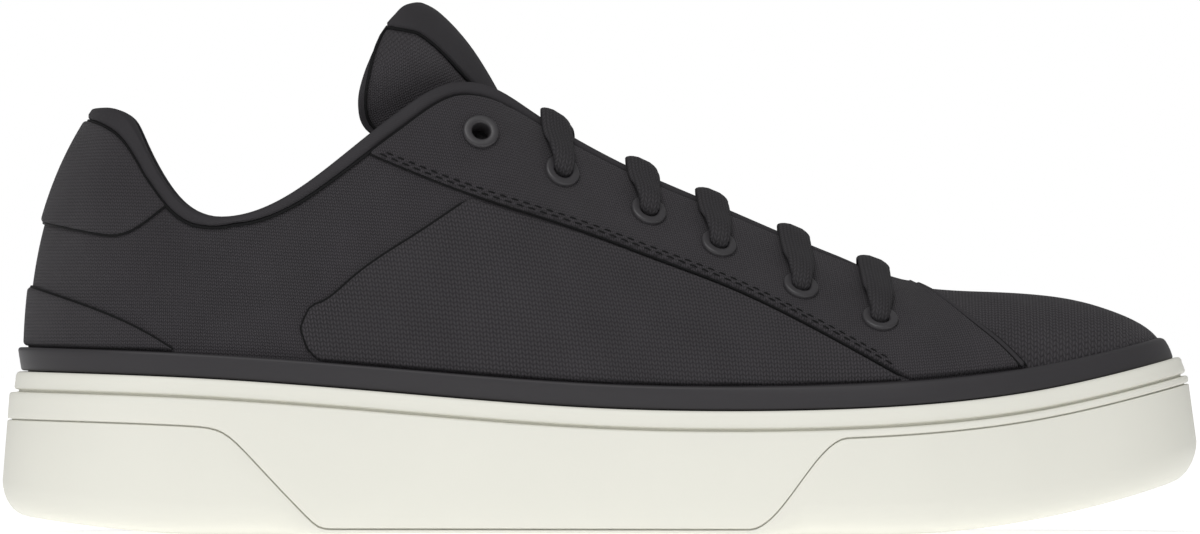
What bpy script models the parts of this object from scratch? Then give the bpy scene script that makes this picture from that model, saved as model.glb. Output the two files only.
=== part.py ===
"""Low knit sneaker for the right foot, standing on its sole.

+X points to the toe, +Y to the medial side and +Z up; the origin is on the floor under the middle.
Every curved piece is worked out from one last: ribs that run from the foot of the upper to its top line.
"""

import math

import bmesh
import bpy
import numpy as np
from mathutils import Matrix

MM = 0.001  # the tables below are in millimetres

# Driving sizes, and the sizes at which the tables are drawn.
SOLE_LENGTH, DRAWN_LENGTH = 299.0, 299.0
BALL_WIDTH, DRAWN_WIDTH = 108.0, 108.0
INSTEP_HEIGHT, DRAWN_INSTEP = 111.3, 111.3
STRETCH = np.array([SOLE_LENGTH / DRAWN_LENGTH, BALL_WIDTH / DRAWN_WIDTH, INSTEP_HEIGHT / DRAWN_INSTEP])

# Wall and clearance sizes.
GAP = 0.35  # between neighbouring pieces
WALL = 2.2  # knit with its backing
COLLAR_PAD = 3.4  # foam added inside the collar
PAD_FADES = (-52.0, -32.0)  # top line x over which the foam thins out towards the throat
PAD_SWELLS = (0.45, 0.85)  # share of a rib over which it swells
OVERLAY, PANEL = 0.8, 0.6  # sewn overlays, and the thinner side panel
OVERLAY_SEAT = GAP + 0.1  # height of an overlay's underside over the upper
EYESTAY, EYESTAY_SEAT = 0.8, 0.82
LEAST_ROOM = 0.006  # of a rib: an overlay ends where it would be narrower
PANEL_CLEAR = 0.012  # of a rib, between the side panel and the eyestay
INSOLE, INSOLE_CLEAR = 4.0, 0.8  # thickness, and its distance from the upper's inside
INSOLE_ROUND, INSOLE_DISH = (0.9, 0.6), 0.8  # rounded edge, width and height, and hollow of the top
FOXING_HEIGHT = 6.1
LIP_HEIGHT = 4.75
PLATE = 4.0  # outsole under the foot

# One row for each rib of the last: where it starts beside the footbed, where it ends on the top line,
# how far it leans out at its start, how steeply it arrives (90 is upright, 0 lies flat), and the share of
# its span over which it keeps each of these ways.
RIB_COLUMNS = (
    "foot_x", "lateral", "medial", "top_x", "half", "mid", "top_z", "lean", "roll", "rise", "reach",
)
RIBS = (
    (-142.4, 0.4, 0.4, -126.2, 0.0, 0.3, 105.0, 4, 52, 0.33, 0.33),
    (-138.1, -17.2, 17.8, -124.1, 13.0, 0.3, 105.2, 5, 60, 0.33, 0.33),
    (-126.4, -30.0, 30.6, -118.0, 22.5, 0.3, 102.9, 5, 74, 0.32, 0.31),
    (-113.0, -35.8, 36.0, -110.6, 27.0, 0.3, 90.4, 5, 82, 0.32, 0.30),
    (-99.0, -37.4, 37.4, -101.5, 29.0, 0.3, 79.7, 5, 84, 0.32, 0.30),
    (-84.0, -37.7, 37.2, -89.5, 29.6, 0.3, 78.4, 5, 82, 0.32, 0.30),
    (-67.0, -37.9, 35.8, -75.0, 29.0, 0.3, 84.9, 6, 78, 0.32, 0.30),
    (-50.0, -38.7, 34.3, -60.0, 27.2, 0.3, 96.4, 6, 70, 0.32, 0.30),
    (-34.0, -40.2, 33.4, -47.0, 24.4, 0.3, 106.3, 6, 62, 0.32, 0.30),
    (-20.0, -42.1, 33.6, -36.8, 21.0, 0.4, 111.3, 6, 54, 0.32, 0.29),
    (-8.0, -43.9, 34.8, -27.0, 18.6, 0.5, 110.2, 7, 48, 0.32, 0.28),
    (3.0, -45.4, 36.5, -17.5, 17.0, 0.6, 104.4, 7, 43, 0.33, 0.28),
    (20.0, -47.6, 40.2, 5.0, 14.6, 0.8, 91.4, 8, 36, 0.35, 0.28),
    (38.0, -48.5, 44.5, 27.0, 12.6, 1.2, 81.7, 8, 30, 0.38, 0.28),
    (56.0, -48.4, 47.9, 50.0, 10.6, 1.6, 71.8, 9, 24, 0.41, 0.28),
    (72.0, -46.6, 49.3, 66.0, 8.2, 2.0, 65.5, 9, 16, 0.44, 0.29),
    (81.5, -44.3, 48.9, 73.2, 5.2, 2.3, 62.9, 10, 8, 0.46, 0.31),
    (89.5, -41.6, 47.8, 77.0, 0.0, 2.5, 61.8, 10, 3, 0.48, 0.32),
    (102.0, -36.3, 44.6, 87.0, 0.0, 3.0, 60.7, 10, 0, 0.51, 0.34),
    (116.0, -27.9, 39.2, 98.5, 0.0, 4.2, 60.2, 10, 0, 0.54, 0.38),
    (128.6, -18.6, 32.6, 109.5, 0.0, 6.0, 59.5, 9, 0, 0.57, 0.44),
    (137.9, -6.4, 24.4, 118.0, 0.0, 8.0, 58.3, 8, 0, 0.60, 0.49),
    (141.6, 9.4, 9.4, 122.0, 0.0, 8.8, 57.3, 8, 0, 0.61, 0.52),
)
SHARED_COLUMNS = ("foot_x", "top_x", "mid", "top_z", "lean", "roll", "rise", "reach")  # alike on both sides
THROAT_END = 17  # the row where the throat closes and the ridge of the vamp begins

# Lines seen from the side, as (x, z).
BED = ((-145, 26.0), (-90, 25.5), (-40, 22.0), (20, 17.0), (55, 15.5), (90, 17.0), (120, 20.5), (143, 25.5))
RIM = ((-150, 40.5), (-100, 38.8), (-50, 35.1), (0, 31.4), (35, 30.7), (75, 31.9), (110, 35.9), (150, 45.4))
EYESTAY_LOWER = ((-62, 96.6), (-31, 84.1), (-3, 74.8), (14, 68.4), (31, 61.9), (52, 51.8), (78, 37.6))
EYESTAY_FRONT = ((74, 62.4), (80, 59.8), (87.5, 55.8), (95, 50.9), (102.5, 44.6), (108, 38.6), (125, 18.0))
HEEL_PATCH_LOWER = ((-146, 78.6), (-138.7, 77.4), (-125, 74.7), (-119, 74.6), (-108, 81.8), (-98, 88.4))
COUNTER_UPPER = ((-146, 62.8), (-141.7, 61.4), (-130, 57.5), (-115, 51.2), (-106, 45.8), (-100, 41.5))
PANEL_UPPER = ((-74.2, 51.2), (-73, 54.7), (-70, 57.4), (-62, 63.3), (-47, 73.7), (-31, 84.4), (-24, 89.0))
PANEL_LOWER = ((-74.2, 51.2), (-73, 47.4), (-70, 43.3), (-66, 38.8))

# Ribs on which the overlays are looked for, by foot_x or by their share of the way from heel to toe.
EYESTAY_SPAN, PANEL_SPAN, HEEL_SPAN = (-60, 115), (-84, 95), 0.3
END_SHARES = (0.4, 0.75, 1.0)  # extra ribs between an overlay's last whole rib and its end

# Sole. Heights where the outsole's edge turns, and how far its side stands out from the upper.
HEEL_BEVEL, HEEL_BEVEL_FROM, HEEL_BEVEL_POWER = 4.1, -100.0, 1.5
TOE_SPRING, TOE_SPRING_FROM, TOE_SPRING_POWER = 12.4, 70.0, 1.9
ARCH_FROM, ARCH_TO, ARCH_BLEND, ARCH_EDGE_RISE, ARCH_RISE = -68.0, 36.0, 14.0, 0.3, 1.4
BOTTOM_END = 142.5  # x of the last rise of heel and toe
PART_HEEL_DROP, PART_TOE_DROP, PART_STRIP = 7.4, 2.6, 1.2
HEEL_RAMP = (-93.3, -69.8)
TOE_RAMP = (37.0, 61.5)
RAMP_HEAD_SOFT, RAMP_FOOT_SOFT = 2.0, 0.8  # roundness of the upper and lower corner of the heel ramp
CORNER_HEIGHT, CORNER_WIDTH = 8.0, 6.0
STEP_SOFT, RIM_SOFT, LIP_SHOULDER = 0.6, 0.6, 1.9  # heights over which step, rim and lip turn
SIDE_COLUMNS = ("flare", "under_step", "lip_foot", "lip_side", "rim_edge")
SIDE_AT_HEEL = (6.4, 4.6, 3.4, 3.1, 2.0)
SIDE_AT_TOE = (7.3, 5.0, 4.4, 3.6, 2.2)
TOE_SIDE_FROM, TOE_SIDE_TO = 85.0, 138.0
WRAP_TOP_OUT, WRAP_FOOT_OUT = 2.2, 1.4  # the outsole's inner wall, outside the upper's line

# Foxing: how far its outer face stands out from the upper at its top and foot.
FOXING_TOP, FOXING_FOOT = (2.6, 1.5), (1.6, 1.5)  # at the heel, at the toe
FOXING_ROUND = 0.45

# Eyelets, seen from the side, from the top one down. The top one is left unlaced.
EYELETS = ((-30.0, 99.2), (-10.1, 89.2), (11.5, 79.2), (29.0, 70.9), (49.4, 60.3), (69.3, 52.2))
EYELET_OUTER, EYELET_INNER, EYELET_BARREL, EYELET_HOLE = 4.55, 2.3, 2.8, 3.25
EYELET_RIM = 0.75  # height of the flange
EYELET_SIDES = 8

# Laces: flat cord, narrower where it enters an eyelet.
LACE_WIDTH, LACE_WIDTH_IN_EYELET, LACE_THICKNESS = 8.8, 4.0, 1.7
LACE_CROWN = 0.6  # height of a bar's middle over its shoulders
LACE_SET_BACK = 1.8  # from an eyelet back to where its bar crosses the throat's edge

# Collar binding: depth of its outer band along the top line, by the line's x.
BAND = (
    (-128, 1.6), (-121, 4.0), (-113, 5.4), (-104, 3.0), (-99, 1.8), (-91, 0.8), (-83, 1.5), (-75, 2.1),
    (-60, 2.8), (-50, 3.1), (-37, 2.6), (-25, 3.4), (-12, 2.6), (0, 2.0), (60, 1.8), (78, 1.3),
)
BINDING_LEG, BINDING_CAP, BINDING_INNER_BAND = 0.8, 0.9, 4.0

# Free end of the tongue: front line on the centre, the edge's half width, set-back and fall, and the powers
# by which a row bows back and falls towards its edges.
TONGUE_TOP = (
    (-26.9, 110.9, 17.5, 30.0, 11.0, 1.9, 1.9),
    (-33.2, 121.0, 20.5, 26.6, 14.0, 1.9, 1.9),
    (-39.4, 128.0, 22.5, 18.8, 13.0, 1.8, 2.3),
    (-43.2, 130.8, 21.0, 12.3, 8.6, 1.55, 3.0),
    (-46.0, 131.9, 18.5, 7.0, 6.4, 1.3, 3.8),
)
TONGUE_RIBS = (  # where it lies under the throat: rib of its shoulders and rib of its edges
    (0.775, 0.775), (0.73, 0.73), (0.665, 0.66), (0.60, 0.585), (0.54, 0.51), (0.495, 0.44),
)
TONGUE_WING, TONGUE_SHOULDER = 0.80, 0.96  # share of a rib up to its edge and to its shoulder
TONGUE_CROWN, TONGUE_DIP = 0.9, -0.2  # its middle over its shoulders, in the throat and under the vamp
TONGUE_THICKNESS = (3.0, 3.4, 3.8, 4.2, 4.6, 5.0, 5.4, 5.6, 5.2, 4.2, 2.6)
LABEL_HALF = (0.27, 0.37, 0.50, 0.76, 0.87)  # share of the tongue's half width, row by row
LABEL_THICKNESS, LABEL_SEAT = 0.8, GAP + 0.25

CHARCOAL = (0.0395, 0.0365, 0.0405, 1.0)
BAND_CHARCOAL = (0.036, 0.034, 0.037, 1.0)
CREAM = (0.775, 0.768, 0.695, 1.0)
LINING = (0.030, 0.028, 0.031, 1.0)


# Curves

def cubic(knots, values, periodic=False):
    """A smooth curve through the values: natural at its ends, or closed."""
    knots, values = np.asarray(knots, float), np.asarray(values, float)
    flat = values.reshape(len(knots), -1)
    steps = np.diff(knots)
    count = len(knots)
    matrix, right = np.eye(count), np.zeros_like(flat)
    slopes = np.diff(flat, axis=0) / steps[:, None]
    for i in range(1, count - 1):
        matrix[i, i - 1:i + 2] = steps[i - 1], 2 * (steps[i - 1] + steps[i]), steps[i]
        right[i] = 6 * (slopes[i] - slopes[i - 1])
    if periodic:
        matrix[0, [0, 1, -2, -1]] = 2 * steps[0], steps[0], steps[-1], 2 * steps[-1]
        right[0] = 6 * (slopes[0] - slopes[-1])
        matrix[-1, [0, -1]] = 1, -1
    bends = np.linalg.solve(matrix, right)

    def at(where):
        where = np.asarray(where, float)
        if periodic:
            where = knots[0] + np.mod(where - knots[0], knots[-1] - knots[0])
        i = np.clip(np.searchsorted(knots, where, side="right") - 1, 0, count - 2)
        h = steps[i][..., None]
        a = (knots[i + 1] - where)[..., None]
        b = (where - knots[i])[..., None]
        found = (bends[i] * a**3 + bends[i + 1] * b**3) / (6 * h)
        found = found + (flat[i] / h - bends[i] * h / 6) * a + (flat[i + 1] / h - bends[i + 1] * h / 6) * b
        return found.reshape(where.shape + values.shape[1:])

    return at


def side_line(points):
    """A line seen from the side, z as a function of x."""
    points = np.array(points, float) * STRETCH[[0, 2]]
    return cubic(points[:, 0], points[:, 1])


def smooth(low, high, where):
    share = np.clip((where - low) / (high - low), 0, 1)
    return share * share * (3 - 2 * share)


def unit(vectors):
    return vectors / np.maximum(np.linalg.norm(vectors, axis=-1, keepdims=True), 1e-9)


bed_line, rim_line = side_line(BED), side_line(RIM)
eyestay_lower, eyestay_front = side_line(EYESTAY_LOWER), side_line(EYESTAY_FRONT)
patch_lower, counter_upper = side_line(HEEL_PATCH_LOWER), side_line(COUNTER_UPPER)
panel_upper, panel_lower = side_line(PANEL_UPPER), side_line(PANEL_LOWER)


def over_foxing(x):
    """Foot of the overlays, just above the foxing."""
    return rim_line(x) + FOXING_HEIGHT + GAP


# The last: s runs round the foot, 0 at the heel, 1 at the toe on the lateral side, and 2 at the heel again;
# t runs up a rib, 0 beside the footbed and 1 on the top line.

def rib_curve():
    rows = np.array(RIBS, float)
    rows[:, [0, 3]] *= STRETCH[0]
    rows[:, [1, 2, 4, 5]] *= STRETCH[1]
    rows[:, 6] *= STRETCH[2]
    column = {name: rows[:, i] for i, name in enumerate(RIB_COLUMNS)}
    middle = (column["medial"] - column["lateral"]) / 2
    foot = np.stack([column["foot_x"], middle], 1)
    top = np.stack([column["top_x"], column["half"], column["top_z"]], 1)
    gaps = np.linalg.norm(np.diff(foot, axis=0), axis=1) + np.linalg.norm(np.diff(top, axis=0), axis=1)
    knots = np.concatenate([[0], np.cumsum(gaps)]) / gaps.sum()
    shared = rows[:, [RIB_COLUMNS.index(n) for n in SHARED_COLUMNS]]
    lateral = np.column_stack([shared, column["lateral"], -column["half"]])
    medial = np.column_stack([shared, column["medial"], column["half"]])
    loop = np.concatenate([lateral, medial[-2::-1]])
    return cubic(np.concatenate([knots, 2 - knots[-2::-1]]), loop, periodic=True), knots


ribs_at, rib_knots = rib_curve()
S_THROAT = rib_knots[THROAT_END]


def along(s):
    """How far round from the heel, the same on both sides."""
    s = np.mod(s, 2.0)
    return np.where(s > 1, 2 - s, s)


def top_line_run(s):
    """The top line's way forward and up, kept off the two ends, where it turns back."""
    near, step = np.clip(along(s), 3e-3, 1 - 3e-3), 1e-4
    return (ribs_at(near + step) - ribs_at(near - step))[..., [1, 3]]


def rib_handles(s):
    """Foot, top and the two handles of the ribs at s."""
    s = np.asarray(s, float)
    row, step = ribs_at(s), 1e-4
    foot_x, top_x, mid, top_z, lean, roll, rise, reach, foot_y, half = np.moveaxis(row, -1, 0)
    medial = np.mod(s, 2) > 1
    half = np.where(medial, np.maximum(half, 0), np.minimum(half, 0))
    half = np.where(along(s) >= S_THROAT - 1e-9, 0.0, half)
    foot = np.stack([foot_x, foot_y, bed_line(foot_x) + GAP], -1)
    top = np.stack([top_x, mid + half, top_z], -1)
    ahead, behind = ribs_at(s + step), ribs_at(s - step)
    run = ahead[..., [0, 8]] - behind[..., [0, 8]]
    outward = unit(np.stack([run[..., 1], -run[..., 0]], -1))
    lean, roll = np.radians(lean), np.radians(np.clip(roll, 0, 90))
    foot_way = np.concatenate([outward * np.sin(lean)[..., None], np.cos(lean)[..., None]], -1)
    side_way = unit(foot[..., :2] - top[..., :2])
    top_run = top_line_run(s)
    steep = np.clip(top_run[..., 1] / top_run[..., 0], -0.5, 0.5)
    down = side_way[..., 0] * steep * np.cos(roll) - np.sin(roll)
    top_way = np.concatenate([side_way * np.cos(roll)[..., None], down[..., None]], -1)
    span = np.linalg.norm(top - foot, axis=-1)
    return foot, foot + foot_way * (span * rise)[..., None], top + top_way * (span * reach)[..., None], top


def surface(s, t):
    s, t = np.broadcast_arrays(np.asarray(s, float), np.asarray(t, float))
    a, b, c, d = rib_handles(s)
    t = t[..., None]
    return a * (1 - t)**3 + 3 * b * t * (1 - t)**2 + 3 * c * t * t * (1 - t) + d * t**3


def normal(s, t):
    """Outward from the upper."""
    s, t = np.broadcast_arrays(np.asarray(s, float), np.asarray(t, float))
    step = 1e-4
    low, high = np.clip(t - step, 0, 1), np.clip(t + step, 0, 1)
    back, ahead = s - step, s + step
    ridge = (along(s) >= S_THROAT - 1e-9) & (t > 1 - 1e-6)
    found = unit(np.cross(surface(ahead, t) - surface(back, t), surface(s, high) - surface(s, low)))
    run = top_line_run(s)
    on_ridge = unit(np.stack([-run[..., 1], np.zeros_like(s), run[..., 0]], -1))
    return np.where(ridge[..., None], on_ridge, found)


def t_at(s, line):
    """Where the ribs at s pass a side line, going up."""
    s = np.asarray(s, float)
    low, high = np.zeros(s.shape), np.ones(s.shape)
    for _ in range(40):
        t = (low + high) / 2
        point = surface(s, t)
        above = point[..., 2] > line(point[..., 0])
        high, low = np.where(above, t, high), np.where(above, low, t)
    return (low + high) / 2


def wall(s, t):
    """Thickness of the upper: padded inside the collar."""
    collar = 1 - smooth(*PAD_FADES, ribs_at(s)[..., 1])
    return WALL + COLLAR_PAD * collar * smooth(*PAD_SWELLS, t)


OPEN_RIBS = S_THROAT * np.linspace(0, 1, 25)**1.15  # closer together round the heel
VAMP_RIBS = np.linspace(S_THROAT, 1, 9)[1:]
SIDE_RIBS = np.concatenate([OPEN_RIBS, VAMP_RIBS])
LOOP_RIBS = np.concatenate([SIDE_RIBS, 2 - SIDE_RIBS[-2:0:-1]])
OUTER_LEVELS = np.array([0, 0.15, 0.3, 0.42, 0.53, 0.65, 0.77, 0.88, 1])  # heights on a rib, outside
INNER_LEVELS = np.array([0, 0.25, 0.45, 0.65, 0.86, 1])  # and inside, where fewer will do
HEEL_RIBS = np.concatenate([SIDE_RIBS[SIDE_RIBS < HEEL_SPAN][::-1], -SIDE_RIBS[SIDE_RIBS < HEEL_SPAN][1:]])


# Meshes

def new_object(name, bm, material, part=True):
    bmesh.ops.remove_doubles(bm, verts=bm.verts, dist=1e-5)
    bmesh.ops.dissolve_degenerate(bm, edges=bm.edges, dist=1e-6)
    bmesh.ops.triangulate(bm, faces=bm.faces)
    bmesh.ops.recalc_face_normals(bm, faces=bm.faces)
    mesh = bpy.data.meshes.new(name)
    bm.to_mesh(mesh)
    bm.free()
    mesh.shade_smooth()
    mesh.set_sharp_from_angle(angle=math.radians(35))
    obj = bpy.data.objects.new(name, mesh)
    (parts if part else cutters).objects.link(obj)
    if part:
        mesh.materials.append(material)
    else:
        obj.hide_render, obj.display_type = True, "WIRE"
    return obj


def add_grid(bm, grid, close_rows=False, close_columns=False):
    """Quads between neighbouring points of a grid of millimetre points."""
    rows, columns = grid.shape[:2]
    verts = [[bm.verts.new(p) for p in row] for row in grid * MM]
    for i in range(rows if close_rows else rows - 1):
        for j in range(columns if close_columns else columns - 1):
            k, m = (i + 1) % rows, (j + 1) % columns
            bm.faces.new((verts[i][j], verts[k][j], verts[k][m], verts[i][m]))


def across(loop, columns, rise=None):
    """Rows of points from the lateral to the medial half of a loop, to close it like a plank."""
    count = len(loop) // 2
    medial = np.concatenate([loop[:1], loop[:count - 1:-1]])
    shares = np.linspace(0, 1, columns)[None, :, None]
    grid = loop[:count + 1, None] * (1 - shares) + medial[:, None] * shares
    if rise is not None:
        grid[..., 2] = rise(grid[..., 0], 1 - (2 * shares[..., 0] - 1)**2, grid[..., 2])
    return grid


def loft(name, rings, material, first, last):
    """A solid through closed rings, closed by a plank at each end."""
    bm = bmesh.new()
    add_grid(bm, np.array(rings), close_columns=True)
    add_grid(bm, first)
    add_grid(bm, last)
    return new_object(name, bm, material)


def shell(name, outer, inner, material):
    """A sheet with thickness: two grids and the strips along their edges."""
    bm = bmesh.new()
    add_grid(bm, outer)
    add_grid(bm, inner)
    for edge in (0, -1):
        add_grid(bm, np.stack([outer[:, edge], inner[:, edge]], 1))
        add_grid(bm, np.stack([outer[edge], inner[edge]], 1))
    return new_object(name, bm, material)


def sweep(name, sections, material, closed=False):
    """A solid through closed sections, joined end to end or capped."""
    bm = bmesh.new()
    sections = np.array(sections)
    add_grid(bm, sections, close_rows=closed, close_columns=True)
    if not closed:
        for section in (sections[0], sections[-1]):
            bm.faces.new([bm.verts.new(p) for p in section * MM])
    return new_object(name, bm, material)


def finish(name, colour, roughness):
    material = bpy.data.materials.new(name)
    material.use_nodes = True
    shader = material.node_tree.nodes["Principled BSDF"]
    shader.inputs["Base Color"].default_value = colour
    shader.inputs["Roughness"].default_value = roughness
    shader.inputs["Metallic"].default_value = 0.0
    return material


# Sole

def toe_share(x):
    return smooth(TOE_SIDE_FROM * STRETCH[0], TOE_SIDE_TO * STRETCH[0], x)


def side_sizes(x):
    share = toe_share(x)
    return {n: a + (b - a) * share for n, a, b in zip(SIDE_COLUMNS, SIDE_AT_HEEL, SIDE_AT_TOE)}


def bottom_line(x):
    back = np.clip(HEEL_BEVEL_FROM - x, 0, None) / (BOTTOM_END + HEEL_BEVEL_FROM)
    front = np.clip(x - TOE_SPRING_FROM, 0, None) / (BOTTOM_END - TOE_SPRING_FROM)
    return HEEL_BEVEL * back**HEEL_BEVEL_POWER + TOE_SPRING * front**TOE_SPRING_POWER


def arch_share(x):
    return smooth(ARCH_FROM, ARCH_FROM + ARCH_BLEND, x) * (1 - smooth(ARCH_TO - ARCH_BLEND, ARCH_TO, x))


def bottom_edge(x):
    return bottom_line(x) + ARCH_EDGE_RISE * arch_share(x)


def step_line(x):
    return rim_line(x) - LIP_HEIGHT


def part_line(x):
    """Where outsole and midsole meet on the side: high at heel and forefoot, a strip between."""
    heel_top = step_line(x) - PART_HEEL_DROP
    ramp = (HEEL_RAMP[1] - x) * (heel_top - PART_STRIP) / (HEEL_RAMP[1] - HEEL_RAMP[0])
    heel = -RAMP_HEAD_SOFT * np.logaddexp(-(heel_top - PART_STRIP) / RAMP_HEAD_SOFT, -ramp / RAMP_HEAD_SOFT)
    heel = RAMP_FOOT_SOFT * np.logaddexp(0, heel / RAMP_FOOT_SOFT)
    toe = (step_line(x) - PART_TOE_DROP - PART_STRIP) * smooth(*TOE_RAMP, x)
    return PART_STRIP + np.maximum(heel * (x < 0), toe * (x > 0))


def plate_line(x):
    return bottom_line(x) + PLATE


class Loop:
    """The upper's line at rim height, from which the sole's rings stand out."""

    def __init__(self):
        t = t_at(LOOP_RIBS, rim_line)
        self.base = surface(LOOP_RIBS, t)[:, :2]
        step = 1e-3
        run = surface(LOOP_RIBS + step, t)[:, :2] - surface(LOOP_RIBS - step, t)[:, :2]
        self.out = unit(np.stack([run[:, 1], -run[:, 0]], 1))
        self.sizes = side_sizes(self.base[:, 0])

    def ring(self, offset, height):
        """Points at an offset; height is a function of x or an array."""
        xy = self.base + self.out * np.broadcast_to(offset, len(self.base))[:, None]
        z = height(xy[:, 0]) if callable(height) else height
        return np.column_stack([xy, z])

    def side(self, z_of):
        """A ring on the sloping side between the bottom corner and the step."""
        flare, top = self.sizes["flare"], self.sizes["under_step"]
        x = self.base[:, 0]
        corner, step = bottom_line(x) + self.corner(), step_line(x)
        share = np.clip((z_of(x) - corner) / (step - corner), 0, 1)
        return self.ring(flare + (top - flare) * share, z_of)

    def corner(self):
        x = self.base[:, 0]
        return np.minimum(CORNER_HEIGHT, 0.6 * (part_line(x) - bottom_line(x)))


def outsole(loop, material):
    corner = loop.corner()
    width = CORNER_WIDTH * corner / CORNER_HEIGHT
    rings = []
    for angle in np.radians((0, 35, 65, 90)):
        inset, lift = width * (1 - math.sin(angle)), corner * (1 - math.cos(angle))
        rings.append(loop.ring(loop.sizes["flare"] - inset, lambda px: bottom_edge(px) + lift))
    rings.append(loop.side(part_line))
    rings.append(loop.ring(WRAP_TOP_OUT, lambda px: np.maximum(part_line(px), plate_line(px))))
    rings.append(loop.ring(WRAP_FOOT_OUT, plate_line))

    def underside(px, middle, z):
        return bottom_edge(px) + (ARCH_RISE - ARCH_EDGE_RISE) * arch_share(px) * middle

    first = across(rings[0], 5, underside)
    last = across(rings[-1], 3, lambda px, middle, z: plate_line(px))
    return loft("outsole", rings, material, first, last)


def midsole(loop, material):
    size = loop.sizes
    rings = [
        loop.ring(WRAP_FOOT_OUT - GAP, lambda px: plate_line(px) + GAP),
        loop.ring(WRAP_TOP_OUT - GAP, lambda px: np.maximum(part_line(px), plate_line(px)) + GAP),
        loop.side(lambda px: part_line(px) + GAP),
        loop.side(lambda px: step_line(px) - STEP_SOFT),
        loop.ring(size["lip_foot"], lambda px: step_line(px) + STEP_SOFT),
        loop.ring(size["lip_side"], lambda px: rim_line(px) - LIP_SHOULDER),
        loop.ring(0.7 * size["lip_side"] + 0.3 * size["rim_edge"], lambda px: rim_line(px) - RIM_SOFT),
        loop.ring(size["rim_edge"], rim_line),
    ]
    rim_t = t_at(LOOP_RIBS, rim_line)
    for t, height in ((rim_t, rim_line), (rim_t / 2, None), (0 * rim_t, bed_line)):
        ring = surface(LOOP_RIBS, t) + unit(normal(LOOP_RIBS, t) * [1, 1, 0]) * GAP
        if height:
            ring[:, 2] = height(ring[:, 0])
        rings.append(ring)
    first = across(rings[0], 3, lambda px, middle, z: plate_line(px) + GAP)
    last = across(rings[-1], 3, lambda px, middle, z: bed_line(px))
    return loft("midsole", rings, material, first, last)


def foxing(loop, material):
    """A band round the foot of the upper, thicker at its top round the heel, with its top edge rounded."""
    share = toe_share(loop.base[:, 0])
    top = FOXING_TOP[0] + (FOXING_TOP[1] - FOXING_TOP[0]) * share
    foot = FOXING_FOOT[0] + (FOXING_FOOT[1] - FOXING_FOOT[0]) * share
    sections = []
    for outward, height in ((0, 0.0), (0, 1.0), (1, 1.0), (1, 0.8), (1, 0.0)):
        t = t_at(LOOP_RIBS, lambda px: rim_line(px) + OVERLAY_SEAT + (FOXING_HEIGHT - OVERLAY_SEAT) * height)
        out = unit(normal(LOOP_RIBS, t) * [1, 1, 0])
        thick = np.where(outward, foot + (top - foot) * height - FOXING_ROUND * (height == 1.0), GAP)
        sections.append(surface(LOOP_RIBS, t) + out * thick[:, None])
    return sweep("foxing", np.stack(sections, 1), material, closed=True)


def insole(material):
    """A slightly dished board between the upper's walls; every second rib is enough for it."""
    ribs = LOOP_RIBS[::2]
    edge, drop = INSOLE_ROUND
    rings = []
    for lift, trim in ((GAP, 0.0), (INSOLE - drop, 0.0), (INSOLE, edge)):
        t = t_at(ribs, lambda px: bed_line(px) + lift)
        out = unit(normal(ribs, t) * [1, 1, 0])
        ring = surface(ribs, t) - out * (WALL + INSOLE_CLEAR + trim)
        ring[:, 2] = bed_line(ring[:, 0]) + lift
        rings.append(ring)
    first = across(rings[0], 3, lambda px, middle, z: bed_line(px) + GAP)
    last = across(rings[-1], 5, lambda px, middle, z: bed_line(px) + INSOLE - INSOLE_DISH * middle)
    return loft("insole", rings, material, first, last)


# Upper and its overlays

def upper(material):
    """One hollow knit wall, open at collar, throat and underneath."""
    bm = bmesh.new()
    for ribs in (SIDE_RIBS, 2 - SIDE_RIBS):
        outer = surface(*np.meshgrid(ribs, OUTER_LEVELS, indexing="ij"))
        s, t = np.meshgrid(ribs, INNER_LEVELS, indexing="ij")
        inner = surface(s, t) - normal(s, t) * wall(s, t)[..., None]
        add_grid(bm, outer)
        add_grid(bm, inner)
        add_grid(bm, np.stack([outer[:, 0], inner[:, 0]], 1))
        count = len(OPEN_RIBS)
        add_grid(bm, np.stack([outer[:count, -1], inner[:count, -1]], 1))
    obj = new_object("upper", bm, material)
    cut_holes(obj)
    return obj


def overlay(name, ribs, foot, head, thickness, material, columns=5, seat=OVERLAY_SEAT):
    """A sheet lying on the upper between two heights of each rib, which foot and head give."""
    shares = np.linspace(0, 1, columns)
    s = np.repeat(ribs[:, None], columns, 1)
    t = foot(ribs)[:, None] * (1 - shares) + head(ribs)[:, None] * shares
    point, out = surface(s, t), normal(s, t)
    return shell(name, point + out * (seat + thickness), point + out * seat, material)


def ribs_between(side, back, front):
    """Ribs of one side whose feet lie between two x."""
    foot_x = rib_handles(SIDE_RIBS)[0][:, 0]
    return on_side(SIDE_RIBS[(foot_x > back) & (foot_x < front)], side)


def ribs_with_room(ribs, foot, head):
    """The ribs where head is above foot, and extra ones at both ends, to where the room runs out."""
    def has_room(s):
        return head(s) - foot(s) > LEAST_ROOM

    inside = np.flatnonzero(has_room(ribs))
    found = list(ribs[inside])
    for last, beyond in ((inside[0], inside[0] - 1), (inside[-1], inside[-1] + 1)):
        near, far = ribs[last], ribs[beyond]
        for _ in range(30):
            middle = (near + far) / 2
            near, far = (middle, far) if has_room(middle) else (near, middle)
        found += [ribs[last] + (near - ribs[last]) * share for share in END_SHARES]
    return np.sort(found)


def band_depth(s):
    points = np.array(BAND, float)
    return np.interp(ribs_at(s)[..., 1], points[:, 0] * STRETCH[0], points[:, 1])


def under_band(s):
    """Top of the overlays: just below the binding's outer band."""
    s = np.asarray(s, float)
    top, depth = surface(s, 1.0), band_depth(s) + GAP + 0.2
    low, high = np.full(s.shape, 0.5), np.ones(s.shape)
    for _ in range(30):
        t = (low + high) / 2
        near = np.linalg.norm(top - surface(s, t), axis=-1) < depth
        high, low = np.where(near, t, high), np.where(near, low, t)
    return low


def on_side(ribs, side):
    return ribs if side == "lateral" else 2 - ribs


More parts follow.
